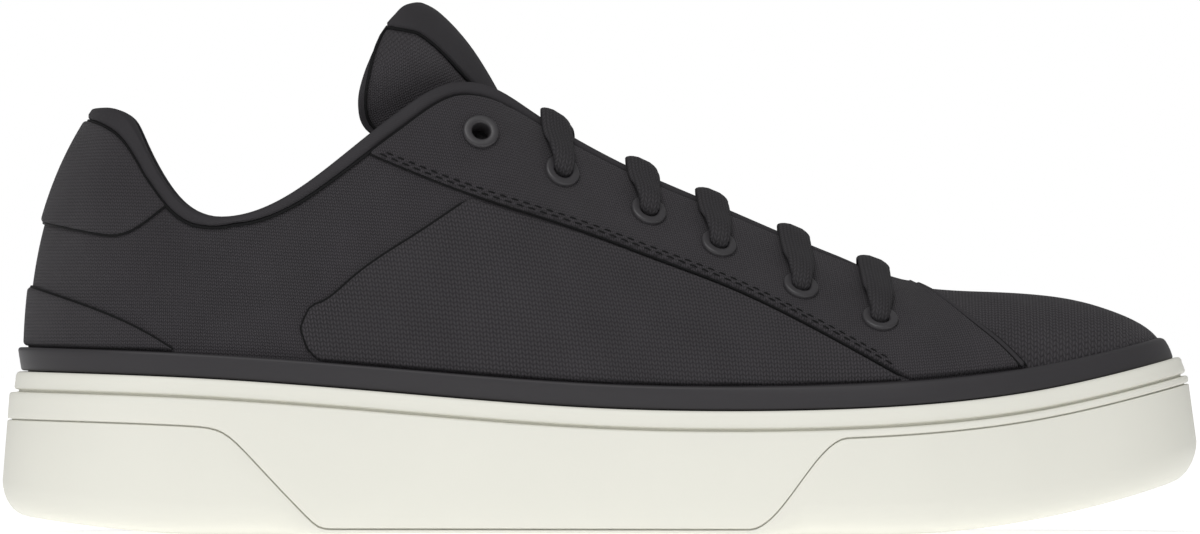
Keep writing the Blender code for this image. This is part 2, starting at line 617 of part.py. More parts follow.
def eyestay(side, material):
    """Overlay along the throat, running down in front of the side panel to the foxing."""
    def foot(s):
        return np.maximum(t_at(s, eyestay_lower), t_at(s, over_foxing))

    def head(s):
        in_front = along(s) > S_THROAT - 1e-9
        return np.where(in_front, t_at(s, eyestay_front), under_band(s))

    ribs = ribs_with_room(ribs_between(side, *EYESTAY_SPAN), foot, head)
    obj = overlay(f"eyestay_{side}", ribs, foot, head, EYESTAY, material, columns=6, seat=EYESTAY_SEAT)
    cut_holes(obj)
    return obj


def side_panel(side, material):
    """Quarter overlay with a rounded nose behind, running forward below the eyestay."""
    nose, foot_end, head_end = PANEL_LOWER[0][0], PANEL_LOWER[-1][0], PANEL_UPPER[-1][0]

    def rear_foot(x):
        return np.where(x < foot_end, panel_lower(np.clip(x, nose, foot_end)), 0.0)

    def rear_head(x):
        return np.where(x < head_end, panel_upper(np.clip(x, nose, head_end)), INSTEP_HEIGHT)

    def foot(s):
        return np.maximum(t_at(s, rear_foot), t_at(s, over_foxing))

    def head(s):
        return np.minimum(t_at(s, rear_head), t_at(s, eyestay_lower) - PANEL_CLEAR)

    ribs = ribs_with_room(ribs_between(side, *PANEL_SPAN), foot, head)
    return overlay(f"side_panel_{side}", ribs, foot, head, PANEL, material)


def heel_patch(material):
    """Overlay round the top of the heel, under the collar's band."""
    def foot(s):
        return t_at(s, patch_lower)

    ribs = ribs_with_room(HEEL_RIBS, foot, under_band)
    return overlay("heel_patch", ribs, foot, under_band, OVERLAY, material)


def heel_counter(material):
    """Overlay round the foot of the heel, over the foxing."""
    def foot(s):
        return t_at(s, over_foxing)

    def head(s):
        return t_at(s, counter_upper)

    ribs = ribs_with_room(HEEL_RIBS, foot, head)
    return overlay("heel_counter", ribs, foot, head, OVERLAY, material, columns=4)


def collar_binding(material):
    """A channel over the edge of collar and throat, with a deeper band outside."""
    ribs = np.concatenate([OPEN_RIBS, 2 - OPEN_RIBS[-2:0:-1]])
    top, out, thick = surface(ribs, 1.0), normal(ribs, 1.0), wall(ribs, 1.0)
    up = unit(top - surface(ribs, 0.97))
    run = top_line_run(ribs)
    back = unit(np.stack([-run[:, 0], 0 * ribs, -run[:, 1]], 1))
    up = np.where((along(ribs) > S_THROAT - 1e-6)[:, None], back, up)
    band = band_depth(ribs)
    in_band = np.minimum(BINDING_INNER_BAND, band + 1.0)
    inside, outer = -thick - GAP, GAP + BINDING_LEG
    rows = (
        (GAP + 0 * band, -band), (outer + 0 * band, -band), (outer + 0 * band, 0 * band),
        (0.35 + 0 * band, GAP + BINDING_CAP + 0 * band), (-thick - 0.35, GAP + BINDING_CAP + 0 * band),
        (inside - BINDING_LEG, 0 * band), (inside - BINDING_LEG, -in_band), (inside, -in_band),
        (inside, GAP + 0 * band), (GAP + 0 * band, GAP + 0 * band),
    )
    sections = [top + out * n[:, None] + up * e[:, None] for n, e in rows]
    return sweep("collar_binding", np.stack(sections, 1), material, closed=True)


# Tongue

def under_throat(rib, height):
    """Points inside the upper on the lateral and the medial side, clear of wall and binding."""
    points = []
    for s in (rib, 2 - rib):
        inset = wall(np.array(s), 1.0) + BINDING_LEG + 3 * GAP
        points.append(surface(s, height) - normal(s, height) * inset)
    return points


def tongue_rows():
    """Front surface of the tongue from the vamp up to its free end, and each row's outward direction."""
    rows = []
    for rib, edge_rib in TONGUE_RIBS:
        edge = under_throat(edge_rib, TONGUE_WING)
        shoulder = under_throat(rib, TONGUE_SHOULDER)
        lift = np.array([0, 0, TONGUE_CROWN if rib < S_THROAT else TONGUE_DIP])
        rows.append((edge[0], shoulder[0], (shoulder[0] + shoulder[1]) / 2 + lift, shoulder[1], edge[1]))
    for x, z, half, back, fall, bow, drop in TONGUE_TOP:
        row = []
        for a in (-1, -0.55, 0, 0.55, 1):
            y = half * math.sin(a * math.pi / 2)
            row.append((
                x * STRETCH[0] - back * abs(a)**bow, y * STRETCH[1], z * STRETCH[2] - fall * abs(a)**drop,
            ))
        rows.append(row)
    return np.array([cubic(np.arange(5), np.array(row))(np.linspace(0, 4, 11)) for row in rows])


def grid_normals(grid):
    along_rows = np.gradient(grid, axis=0)
    across_rows = np.gradient(grid, axis=1)
    return unit(np.cross(across_rows, along_rows))


def tongue(material):
    """A padded sheet, thinner towards its edges. Gives its front and the ways out of it."""
    front = tongue_rows()
    out = grid_normals(front)
    out *= np.sign(out[:, 5, 2:3] + out[:, 5, :1] * 0.5)[:, None]
    edge = np.sqrt(np.clip(1 - np.abs(np.linspace(-1, 1, 11))**6, 0.04, 1))
    depth = np.array(TONGUE_THICKNESS)[:, None] * (0.35 + 0.65 * edge)
    shell("tongue", front, front - out * depth[..., None], material)
    return front, out


def tongue_label(front, out, material):
    """Bare label over the front of the tongue's free end."""
    def middle_part(row, half):
        return cubic(np.linspace(-1, 1, len(row)), row)(np.linspace(-half, half, 9))

    count = len(LABEL_HALF)
    points = np.array([middle_part(row, half) for row, half in zip(front[-count:], LABEL_HALF)])
    ways = unit(np.array([middle_part(row, half) for row, half in zip(out[-count:], LABEL_HALF)]))
    inner = points + ways * LABEL_SEAT
    shell("tongue_label", inner + ways * LABEL_THICKNESS, inner, material)


# Eyelets and laces

def find_rib(side, x, z):
    """The rib and the height on it that show at (x, z) from the side."""
    low, high = 0.3, 0.95
    for _ in range(40):
        s = (low + high) / 2
        t = t_at(np.array(on_side(s, side)), lambda px: z + 0 * px)
        if surface(on_side(s, side), t)[0] < x:
            low = s
        else:
            high = s
    return on_side(s, side), float(t)


def eyelet_places():
    """Side, number from the top, rib and height of every eyelet."""
    places = []
    for side in ("lateral", "medial"):
        for k, (x, z) in enumerate(EYELETS, 1):
            places.append((side, k, *find_rib(side, x * STRETCH[0], z * STRETCH[2])))
    return places


PLACES = eyelet_places()
PLACE_OF = {(side, k): (s, t) for side, k, s, t in PLACES}


def eyelet_frame(s, t):
    """Matrix that stands a turned piece on the upper, its axis along the outward normal."""
    out = normal(s, t)
    ahead = unit(surface(s + 1e-3, t) - surface(s - 1e-3, t))
    up = np.cross(out, ahead)
    matrix = np.eye(4)
    matrix[:3, 0], matrix[:3, 1], matrix[:3, 2] = ahead, unit(up), out
    matrix[:3, 3] = surface(s, t) * MM
    return Matrix(matrix.tolist())


def eyelets(material):
    """Flanged rings seated through eyestay and upper."""
    seat = EYESTAY_SEAT + EYESTAY + GAP
    profile = (
        (EYELET_INNER, -1.6), (EYELET_BARREL, -1.6), (EYELET_BARREL, seat), (EYELET_OUTER, seat),
        (EYELET_OUTER - 0.4, seat + EYELET_RIM), (EYELET_INNER + 0.3, seat + EYELET_RIM),
    )
    angles = np.arange(EYELET_SIDES) * 2 * math.pi / EYELET_SIDES
    ring = [[(r * math.cos(a), r * math.sin(a), z) for r, z in profile] for a in angles]
    shared = sweep("eyelet_pattern", ring, material, closed=True)
    for side, k, s, t in PLACES:
        obj = bpy.data.objects.new(f"eyelet_{side}_{k}", shared.data)
        obj.matrix_world = eyelet_frame(s, t)
        parts.objects.link(obj)
    bpy.data.objects.remove(shared)


def hole_cutter():
    bm = bmesh.new()
    for _, _, s, t in PLACES:
        size = {"radius1": EYELET_HOLE * MM, "radius2": EYELET_HOLE * MM, "depth": 14 * MM}
        bmesh.ops.create_cone(bm, cap_ends=True, segments=EYELET_SIDES, matrix=eyelet_frame(s, t), **size)
    return new_object("eyelet_holes", bm, None, part=False)


def cut_holes(obj):
    cut = obj.modifiers.new("eyelet_holes", "BOOLEAN")
    cut.operation, cut.solver, cut.object = "DIFFERENCE", "EXACT", hole_object


def lace_half(side, number):
    """Route of a bar from an eyelet up to the throat's edge, level with it seen from the side."""
    s, t = PLACE_OF[side, number]
    forward = 1 if side == "lateral" else -1
    top_s = s
    for _ in range(60):
        top_s += forward * (surface(s, t)[0] - LACE_SET_BACK - surface(top_s, 1.0)[0]) * 5e-4
    on_eyestay = EYESTAY_SEAT + EYESTAY + GAP + LACE_THICKNESS / 2
    on_eyelet = on_eyestay + EYELET_RIM + GAP + 0.25
    stops = ((-0.02, on_eyelet - 0.1), (0.30, on_eyelet), (0.65, on_eyestay + 0.5), (1.0, on_eyestay + 0.2))
    route = []
    for share, lift in stops:
        rib, height = s + (top_s - s) * share, t + (1 - t) * share
        route.append(surface(rib, height) + normal(rib, height) * lift)
    return route, unit(surface(top_s + 0.02 * forward, 1.0) - surface(top_s - 0.02 * forward, 1.0))


def lace_bar(number, material):
    """A flat bar from eyelet to eyelet over the throat."""
    (near, throat), (far, _) = lace_half("lateral", number), lace_half("medial", number)
    middle = (near[-1] + far[-1]) / 2 + np.array([0, 0, LACE_CROWN])
    route = np.array(near + [middle] + far[::-1])
    path, end = cubic(np.arange(len(route)), route), len(route) - 1
    at = np.concatenate([np.linspace(0, 3, 6), [4], np.linspace(5, 8, 6)]) * end / 8
    point, way = path(at), unit(path(at + 0.02) - path(at - 0.02))
    wide = unit(throat - way * (way @ throat)[:, None])
    thick = np.cross(way, wide)
    share = smooth(0.2, 2.2, np.minimum(at, end - at))
    half = (LACE_WIDTH_IN_EYELET + (LACE_WIDTH - LACE_WIDTH_IN_EYELET) * share) / 2
    corners = ((-1, 0), (-0.8, -1), (0.8, -1), (1, 0), (0.8, 1), (-0.8, 1))
    sections = [point + wide * (half * a)[:, None] + thick * (LACE_THICKNESS / 2 * b) for a, b in corners]
    sweep(f"lace_{number - 1}", np.stack(sections, 1), material)


for old in list(bpy.data.objects):
    bpy.data.objects.remove(old)
parts = bpy.data.collections.new("knit_sneaker")
cutters = bpy.data.collections.new("cutters")
for group in (parts, cutters):
    bpy.context.scene.collection.children.link(group)

knit = finish("knit", CHARCOAL, 0.85)
overlay_knit = finish("overlay_knit", CHARCOAL, 0.8)
trim = finish("trim", BAND_CHARCOAL, 0.7)
rubber_dark = finish("dark_rubber", BAND_CHARCOAL, 0.6)
rubber = finish("cream_rubber", CREAM, 0.6)
lining = finish("lining", LINING, 0.9)

hole_object = hole_cutter()
sole_loop = Loop()
outsole(sole_loop, rubber)
midsole(sole_loop, rubber)
foxing(sole_loop, rubber_dark)
insole(lining)
upper(knit)
for which in ("lateral", "medial"):
    eyestay(which, overlay_knit)
    side_panel(which, overlay_knit)
heel_patch(overlay_knit)
heel_counter(overlay_knit)
collar_binding(trim)
tongue_label(*tongue(knit), trim)
eyelets(trim)
for row in range(2, len(EYELETS) + 1):
    lace_bar(row, trim)
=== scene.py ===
"""Looks of the low knit sneaker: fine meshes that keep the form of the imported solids, and their finish.

Lengths are in millimetres until a mesh is made. Every curved piece follows one last: s runs round the foot
(0 at the heel, 1 at the toe along the lateral side, 2 at the heel again) and t runs up a rib (0 beside the
footbed, 1 on the top line).
"""

import math

import bmesh
import bpy
import numpy as np
from mathutils import Matrix, Vector


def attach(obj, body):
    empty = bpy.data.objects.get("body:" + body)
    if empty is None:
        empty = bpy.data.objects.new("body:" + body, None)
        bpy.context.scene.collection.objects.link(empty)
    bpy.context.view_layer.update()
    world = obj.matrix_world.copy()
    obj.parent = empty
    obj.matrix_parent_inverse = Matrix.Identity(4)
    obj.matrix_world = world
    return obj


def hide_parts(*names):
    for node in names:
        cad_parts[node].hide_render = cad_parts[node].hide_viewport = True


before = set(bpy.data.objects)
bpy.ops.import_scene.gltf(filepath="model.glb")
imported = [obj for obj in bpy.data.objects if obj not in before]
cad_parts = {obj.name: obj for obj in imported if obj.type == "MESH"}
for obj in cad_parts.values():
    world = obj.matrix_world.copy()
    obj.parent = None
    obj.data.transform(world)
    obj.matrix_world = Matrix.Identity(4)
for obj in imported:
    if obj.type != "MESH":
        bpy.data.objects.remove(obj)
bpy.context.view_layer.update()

MM = 0.001
SIDES = ("lateral", "medial")

# Sizes of the solids that the fine meshes keep.
GAP = 0.35
WALL, COLLAR_PAD = 2.2, 3.4
PAD_FADES, PAD_SWELLS, PAD_CLOSES = (-52.0, -32.0), (0.45, 0.85), (0.90, 1.0)
PAD_AT_TOP = 0.45
EYESTAY_LIFT, PATCH_LIFT, PANEL_LIFT = 1.62, 1.25, 1.05  # outer face of the overlays over the upper
LEAST_ROOM, PANEL_CLEAR = 0.006, 0.012
INSOLE, INSOLE_CLEAR, INSOLE_DISH = 4.0, 0.8, 0.8
INSOLE_EDGE = ((0.1, 0.0), (3.3, 0.0), (3.75, 0.25), (4.0, 0.9))  # height over the bed, and inset
FOXING_HEIGHT, LIP_HEIGHT, PLATE = 6.1, 4.75, 4.0
INSTEP_HEIGHT = 111.3

# The last, one row for each rib: its foot, its top, and the ways it leaves and arrives.
RIB_COLUMNS = (
    "foot_x", "lateral", "medial", "top_x", "half", "mid", "top_z", "lean", "roll", "rise", "reach",
)
RIBS = (
    (-142.4, 0.4, 0.4, -126.2, 0.0, 0.3, 105.0, 4, 52, 0.33, 0.33),
    (-138.1, -17.2, 17.8, -124.1, 13.0, 0.3, 105.2, 5, 60, 0.33, 0.33),
    (-126.4, -30.0, 30.6, -118.0, 22.5, 0.3, 102.9, 5, 74, 0.32, 0.31),
    (-113.0, -35.8, 36.0, -110.6, 27.0, 0.3, 90.4, 5, 82, 0.32, 0.30),
    (-99.0, -37.4, 37.4, -101.5, 29.0, 0.3, 79.7, 5, 84, 0.32, 0.30),
    (-84.0, -37.7, 37.2, -89.5, 29.6, 0.3, 78.4, 5, 82, 0.32, 0.30),
    (-67.0, -37.9, 35.8, -75.0, 29.0, 0.3, 84.9, 6, 78, 0.32, 0.30),
    (-50.0, -38.7, 34.3, -60.0, 27.2, 0.3, 96.4, 6, 70, 0.32, 0.30),
    (-34.0, -40.2, 33.4, -47.0, 24.4, 0.3, 106.3, 6, 62, 0.32, 0.30),
    (-20.0, -42.1, 33.6, -36.8, 21.0, 0.4, 111.3, 6, 54, 0.32, 0.29),
    (-8.0, -43.9, 34.8, -27.0, 18.6, 0.5, 110.2, 7, 48, 0.32, 0.28),
    (3.0, -45.4, 36.5, -17.5, 17.0, 0.6, 104.4, 7, 43, 0.33, 0.28),
    (20.0, -47.6, 40.2, 5.0, 14.6, 0.8, 91.4, 8, 36, 0.35, 0.28),
    (38.0, -48.5, 44.5, 27.0, 12.6, 1.2, 81.7, 8, 30, 0.38, 0.28),
    (56.0, -48.4, 47.9, 50.0, 10.6, 1.6, 71.8, 9, 24, 0.41, 0.28),
    (72.0, -46.6, 49.3, 66.0, 8.2, 2.0, 65.5, 9, 16, 0.44, 0.29),
    (81.5, -44.3, 48.9, 73.2, 5.2, 2.3, 62.9, 10, 8, 0.46, 0.31),
    (89.5, -41.6, 47.8, 77.0, 0.0, 2.5, 61.8, 10, 3, 0.48, 0.32),
    (102.0, -36.3, 44.6, 87.0, 0.0, 3.0, 60.7, 10, 0, 0.51, 0.34),
    (116.0, -27.9, 39.2, 98.5, 0.0, 4.2, 60.2, 10, 0, 0.54, 0.38),
    (128.6, -18.6, 32.6, 109.5, 0.0, 6.0, 59.5, 9, 0, 0.57, 0.44),
    (137.9, -6.4, 24.4, 118.0, 0.0, 8.0, 58.3, 8, 0, 0.60, 0.49),
    (141.6, 9.4, 9.4, 122.0, 0.0, 8.8, 57.3, 8, 0, 0.61, 0.52),
)
SHARED_COLUMNS = ("foot_x", "top_x", "mid", "top_z", "lean", "roll", "rise", "reach")
THROAT_END = 17  # the row where the throat closes

# Lines seen from the side, as (x, z).
BED = ((-145, 26.0), (-90, 25.5), (-40, 22.0), (20, 17.0), (55, 15.5), (90, 17.0), (120, 20.5), (143, 25.5))
RIM = ((-150, 40.5), (-100, 38.8), (-50, 35.1), (0, 31.4), (35, 30.7), (75, 31.9), (110, 35.9), (150, 45.4))
EYESTAY_LOWER = ((-62, 96.6), (-31, 84.1), (-3, 74.8), (14, 68.4), (31, 61.9), (52, 51.8), (78, 37.6))
EYESTAY_FRONT = ((74, 62.4), (80, 59.8), (87.5, 55.8), (95, 50.9), (102.5, 44.6), (108, 38.6), (125, 18.0))
HEEL_PATCH_LOWER = ((-146, 78.6), (-138.7, 77.4), (-125, 74.7), (-119, 74.6), (-108, 81.8), (-98, 88.4))
COUNTER_UPPER = ((-146, 62.8), (-141.7, 61.4), (-130, 57.5), (-115, 51.2), (-106, 45.8), (-100, 41.5))
PANEL_UPPER = ((-74.2, 51.2), (-73, 54.7), (-70, 57.4), (-62, 63.3), (-47, 73.7), (-31, 84.4), (-24, 89.0))
PANEL_LOWER = ((-74.2, 51.2), (-73, 47.4), (-70, 43.3), (-66, 38.8))
EYESTAY_SPAN, PANEL_SPAN, HEEL_SPAN = (-60, 115), (-84, 95), 0.3

# Sole.
HEEL_BEVEL, HEEL_BEVEL_FROM, HEEL_BEVEL_POWER = 4.1, -100.0, 1.5
TOE_SPRING, TOE_SPRING_FROM, TOE_SPRING_POWER = 12.4, 70.0, 1.9
ARCH_FROM, ARCH_TO, ARCH_BLEND, ARCH_EDGE_RISE, ARCH_RISE = -68.0, 36.0, 14.0, 0.3, 1.4
BOTTOM_END = 142.5
PART_HEEL_DROP, PART_TOE_DROP, PART_STRIP = 7.4, 2.6, 1.2
HEEL_RAMP, TOE_RAMP = (-93.3, -69.8), (37.0, 61.5)
RAMP_HEAD_SOFT, RAMP_FOOT_SOFT = 2.0, 0.8
CORNER_HEIGHT, CORNER_WIDTH, CORNER_SHARE = 8.0, 6.0, 0.6  # the share of a thin edge that is round
SIDE_COLUMNS = ("flare", "under_step", "lip_foot", "lip_side", "rim_edge")
SIDE_AT_HEEL = (6.4, 4.6, 3.4, 3.1, 2.0)
SIDE_AT_TOE = (7.3, 5.0, 4.4, 3.6, 2.2)
TOE_SIDE_FROM, TOE_SIDE_TO = 85.0, 138.0
WRAP_TOP_OUT, WRAP_FOOT_OUT = 2.2, 1.4
FOXING_TOP, FOXING_FOOT = (2.6, 1.5), (1.6, 1.5)
FOXING_LOW, FOXING_UNDER = 0.3, 0.05  # its lower edge over the rim, and its back over the upper
FOXING_TOP_ROUND, FOXING_FOOT_ROUND = 0.8, 0.5
EDGE_ROUND, EDGE_ROUND_SHARE, PART_DEPTH = 0.4, 0.3, 1.1  # rubber edges along the part line, and its depth
RIM_ROUND = 1.6  # height over which the lip turns in to the rim
GROOVE_DEPTH, GROOVE_HALF = 1.1, 0.45  # line moulded under the lip
TREAD_DEPTH, TREAD_PITCH, TREAD_MARGIN = 1.8, 8.5, 9.0
TREAD_WAVE, TREAD_WAVE_LENGTH = 3.0, 22.0  # height to each side, and length, of a groove's zigzag
TREAD_HALF, TREAD_SLOPE = 1.0, 0.5  # half width of a groove at its floor, and how far its sides slope
TREAD_SPANS = ((-132.0, -66.0), (36.0, 128.0))  # under heel and forefoot

# Eyelets and laces, from the top one down.
EYELETS = ((-30.0, 99.2), (-10.1, 89.2), (11.5, 79.2), (29.0, 70.9), (49.4, 60.3), (69.3, 52.2))
EYELET_OUTER, EYELET_INNER, EYELET_BARREL, EYELET_HOLE = 4.55, 2.3, 2.8, 3.25
EYELET_TOP, EYELET_FOOT = 2.72, -1.6  # over the upper
EYELET_ROLL, EYELET_SINK = 0.55, 0.05  # roundness of the flange, and its depth in the eyestay
EYELET_SIDES, HOLE_SIDES, HOLE_LENGTH = 36, 24, 14.0
EYELET_SEARCH = (0.3, 0.95)  # ribs among which an eyelet is
LACE_WIDTH, LACE_WIDTH_IN_EYELET, LACE_THICKNESS, LACE_THICKNESS_IN_EYELET = 8.8, 4.0, 1.7, 2.3
LACE_SIDES, LACE_SQUARE, LACE_POINTS, LACE_INSIDE_POINTS = 18, (0.6, 0.8), 90, 40
LACE_CROWN, LACE_SET_BACK, LACE_CUP = 0.6, 1.8, 0.8
LACE_NARROW = (3.5, 18.0)  # way from a hidden end over which a bar widens
LACE_STOPS = (  # share of the way from eyelet to throat's edge, and height over the upper
    (0.0, -3.3), (0.0, -1.0), (0.0, 1.6), (0.05, 3.3), (0.14, 4.1), (0.30, 4.15), (0.65, 3.1), (1.0, 2.9),
)
LACE_INSIDE_LIFT, LACE_INSIDE_HALF, LACE_INSIDE_THICKNESS = -3.1, 2.3, 1.3
LACE_INSIDE_RUNS = (  # side, from eyelet, to eyelet, and bow in shares of a rib, to pass the one between
    ("lateral", 6, 5, 0.0), ("lateral", 4, 2, -0.05), ("lateral", 3, 1, 0.045),
    ("medial", 6, 4, -0.05), ("medial", 5, 3, 0.045), ("medial", 2, 1, 0.0),
)

# Collar binding.
BAND = (
    (-128, 1.6), (-121, 4.0), (-113, 5.4), (-104, 3.0), (-99, 1.8), (-91, 0.8), (-83, 1.5), (-75, 2.1),
    (-60, 2.8), (-50, 3.1), (-37, 2.6), (-25, 3.4), (-12, 2.6), (0, 2.0), (60, 1.8), (78, 1.3),
)
UNDER_BAND = 0.2  # room that the overlays leave below the band
BINDING_LEG, BINDING_CAP, BINDING_INNER_BAND = 0.8, 0.9, 4.0
BINDING_TIP, BINDING_TIP_THINS = 0.85, (58.0, 76.0)  # share by which the roll thins where the throat closes
BINDING_OUTSIDE = ((0.6, 0.9), (1.0, 0.6), (1.0, 0.3))  # shares of the leg's thickness and the band's depth
BINDING_SQUARE = (0.85, 0.9)  # powers that make the roll's section less round
BINDING_UNDER, BINDING_INSIDE = 0.1, 0.05  # clear of the upper, and of the lining
BINDING_HEM = 0.5  # height over which the inner leg turns in

# Tongue.
TONGUE_TOP = (  # x, z, half width, set-back and fall of the edge, and the powers of both
    (-26.9, 110.9, 17.5, 30.0, 11.0, 1.9, 1.9),
    (-33.2, 121.0, 20.5, 26.6, 14.0, 1.9, 1.9),
    (-39.4, 128.0, 22.5, 18.8, 13.0, 1.8, 2.3),
    (-43.2, 130.8, 21.0, 12.3, 8.6, 1.55, 3.0),
    (-46.0, 131.9, 18.5, 7.0, 6.4, 1.3, 3.8),
)
TONGUE_RIBS = (
    (0.775, 0.775), (0.73, 0.73), (0.665, 0.66), (0.60, 0.585), (0.54, 0.51), (0.495, 0.44),
)
TONGUE_WING, TONGUE_SHOULDER = 0.80, 0.96
TONGUE_CROWN, TONGUE_DIP = 0.9, -0.2
TONGUE_THICKNESS = (3.0, 3.4, 3.8, 4.2, 4.6, 5.0, 5.4, 5.6, 5.2, 4.2, 2.6)
LABEL_HALF = (0.27, 0.37, 0.50, 0.77, 0.95)
LABEL_LIFT = 1.1  # over the tongue
LABEL_TUCK, LABEL_SHORT = 0.5, 0.05  # rows by which it goes on below, and ends short of the tongue's top
TAPE, TAPE_COLUMNS, TAPE_ROWS = 0.35, 1, 4  # binding of the edge: thickness, reach in the fine grid
TONGUE_GRID, LABEL_GRID = (111, 61), (45, 41)  # rows and columns of the fine meshes
TONGUE_EASE = 30  # rounds that even out the ways out of the tongue
TONGUE_EDGE, TONGUE_EDGE_POWER = 0.25, 6  # share of the thickness left at the sides, and how late it thins

# Soft creases of the upper: depth (a trough is below zero), half width, and the way of each in (s, t).
CREASES = (
    (-0.45, 4.0, ((0.845, 0.58), (0.850, 0.70), (0.852, 0.82))),
    (0.30, 4.5, ((0.872, 0.56), (0.876, 0.68), (0.878, 0.80))),
    (-0.35, 3.5, ((0.90, 0.58), (0.902, 0.70), (0.903, 0.80))),
    (-0.45, 5.0, ((0.20, 0.62), (0.25, 0.55), (0.31, 0.50))),
    (0.35, 6.0, ((0.16, 0.55), (0.20, 0.46), (0.25, 0.42))),
)

# Seams and stitches.
SEAM_RADIUS, SEAM_LIFT, SEAM_FLAT = 0.42, 0.32, 0.8
STITCH_DASH, STITCH_GAP, STITCH_RADIUS = 2.1, 0.95, 0.22
STITCH_SHAPE = (  # share of its length, share of its radius, and height
    (0, 0.2, -0.30), (0.1, 0.75, -0.05), (0.3, 1, 0.12), (0.5, 1, 0.16), (0.7, 1, 0.12), (0.9, 0.75, -0.05),
    (1, 0.2, -0.30),
)
EYESTAY_STITCH_ROWS = (0.9, 2.1)  # above the eyestay's lower edge
EYESTAY_SHORT = 1.5  # what the eyestays' cloth leaves of their front edge to a piping
TOE_PIPING, TOE_PIPING_LIFT, TOE_PIPING_RADIUS = -0.65, 1.0, 0.8  # ahead of that edge, and over the upper
TOE_SEAMS = ((-1.5, 1.15), (0.35, 0.8))  # the same for the seams on both sides of it
TIP_FROM, TIP_TO, TIP_CLEAR = 79.0, 95.0, 3.1  # towards the ridge these lines move ahead of the throat's tip
TOE_LINE_TUCK = 0.5  # how far they run down behind the foxing's edge
TOE_LINE_STEP, TOE_LINE_EASE = 0.8, 24  # spacing of their points, and rounds of easing for the bends
TOE_LINE_RIBS, NEAR_RIDGE = 336, 0.995  # ribs that are tried, and the height at which a side ends
OVERLAY_ROLL = 1.1  # width over which an overlay's edge rolls down
UNDER = 0.06  # underside of the overlays over the upper

# Colours, linear.
CHARCOAL = (0.0395, 0.0365, 0.0405)
# the upper's charcoal painted lighter for the tongue, as painted light over the shade it sits in
TONGUE_CHARCOAL_PAINTED_LIGHT = (0.050, 0.0465, 0.051)
BAND_CHARCOAL = (0.036, 0.034, 0.037)
SEAM_BLACK = (0.006, 0.006, 0.0065)
LINING = (0.050, 0.047, 0.051)
CREAM = (0.775, 0.768, 0.695)
FLOOR_WHITE = (0.9, 0.9, 0.9)

# Sampling of the fine meshes.
OPEN_COUNT, VAMP_COUNT = 160, 56
OUTER_COUNT, INNER_COUNT = 60, 26
BISECTIONS = 32
SHARP = 50  # degrees at which an edge isn't shaded smooth


# Curves

def cubic(knots, values, periodic=False):
    """A smooth curve through the values: natural at its ends, or closed."""
    knots, values = np.asarray(knots, float), np.asarray(values, float)
    flat = values.reshape(len(knots), -1)
    steps = np.diff(knots)
    count = len(knots)
    matrix, right = np.eye(count), np.zeros_like(flat)
    slopes = np.diff(flat, axis=0) / steps[:, None]
    for i in range(1, count - 1):
        matrix[i, i - 1:i + 2] = steps[i - 1], 2 * (steps[i - 1] + steps[i]), steps[i]
        right[i] = 6 * (slopes[i] - slopes[i - 1])
    if periodic:
        matrix[0, [0, 1, -2, -1]] = 2 * steps[0], steps[0], steps[-1], 2 * steps[-1]
        right[0] = 6 * (slopes[0] - slopes[-1])
        matrix[-1, [0, -1]] = 1, -1
    bends = np.linalg.solve(matrix, right)

    def at(where):
        where = np.asarray(where, float)
        if periodic:
            where = knots[0] + np.mod(where - knots[0], knots[-1] - knots[0])
        i = np.clip(np.searchsorted(knots, where, side="right") - 1, 0, count - 2)
        h = steps[i][..., None]
        a = (knots[i + 1] - where)[..., None]
        b = (where - knots[i])[..., None]
        found = (bends[i] * a**3 + bends[i + 1] * b**3) / (6 * h)
        found = found + (flat[i] / h - bends[i] * h / 6) * a + (flat[i + 1] / h - bends[i + 1] * h / 6) * b
        return found.reshape(where.shape + values.shape[1:])

    return at


def side_line(points):
    """A smooth line through points seen from the side."""
    points = np.array(points, float)
    return cubic(points[:, 0], points[:, 1])


def smooth(low, high, where):
    """Rises gently from 0 at low to 1 at high."""
    share = np.clip((where - low) / (high - low), 0, 1)
    return share * share * (3 - 2 * share)


def unit(vectors):
    return vectors / np.maximum(np.linalg.norm(vectors, axis=-1, keepdims=True), 1e-9)


def lengths(points, axis=0):
    """Distance covered so far along one axis of a grid of points."""
    steps = np.linalg.norm(np.diff(points, axis=axis), axis=-1)
    start = np.zeros_like(np.take(steps, [0], axis))
    return np.concatenate([start, np.cumsum(steps, axis)], axis)


def bisected(low, high, passed):
    """Where a test that fails at the low ends and passes at the high ones changes."""
    for _ in range(BISECTIONS):
        middle = (low + high) / 2
        over = passed(middle)
        low, high = np.where(over, low, middle), np.where(over, middle, high)
    return (low + high) / 2


def corner(*degrees):
    """What a round corner still has to go, level and upright, at some angles."""
    return [(1 - math.sin(a), 1 - math.cos(a)) for a in np.radians(degrees)]


def closed(points, axis=0):
    """Points with the first ones repeated at the end."""
    return np.concatenate([points, np.take(points, [0], axis)], axis)


bed_line, rim_line = side_line(BED), side_line(RIM)
eyestay_lower, eyestay_front = side_line(EYESTAY_LOWER), side_line(EYESTAY_FRONT)
patch_lower, counter_upper = side_line(HEEL_PATCH_LOWER), side_line(COUNTER_UPPER)
panel_upper, panel_lower = side_line(PANEL_UPPER), side_line(PANEL_LOWER)


def over_foxing(x):
    """Height just over the foxing band."""
    return rim_line(x) + FOXING_HEIGHT + GAP


# The last

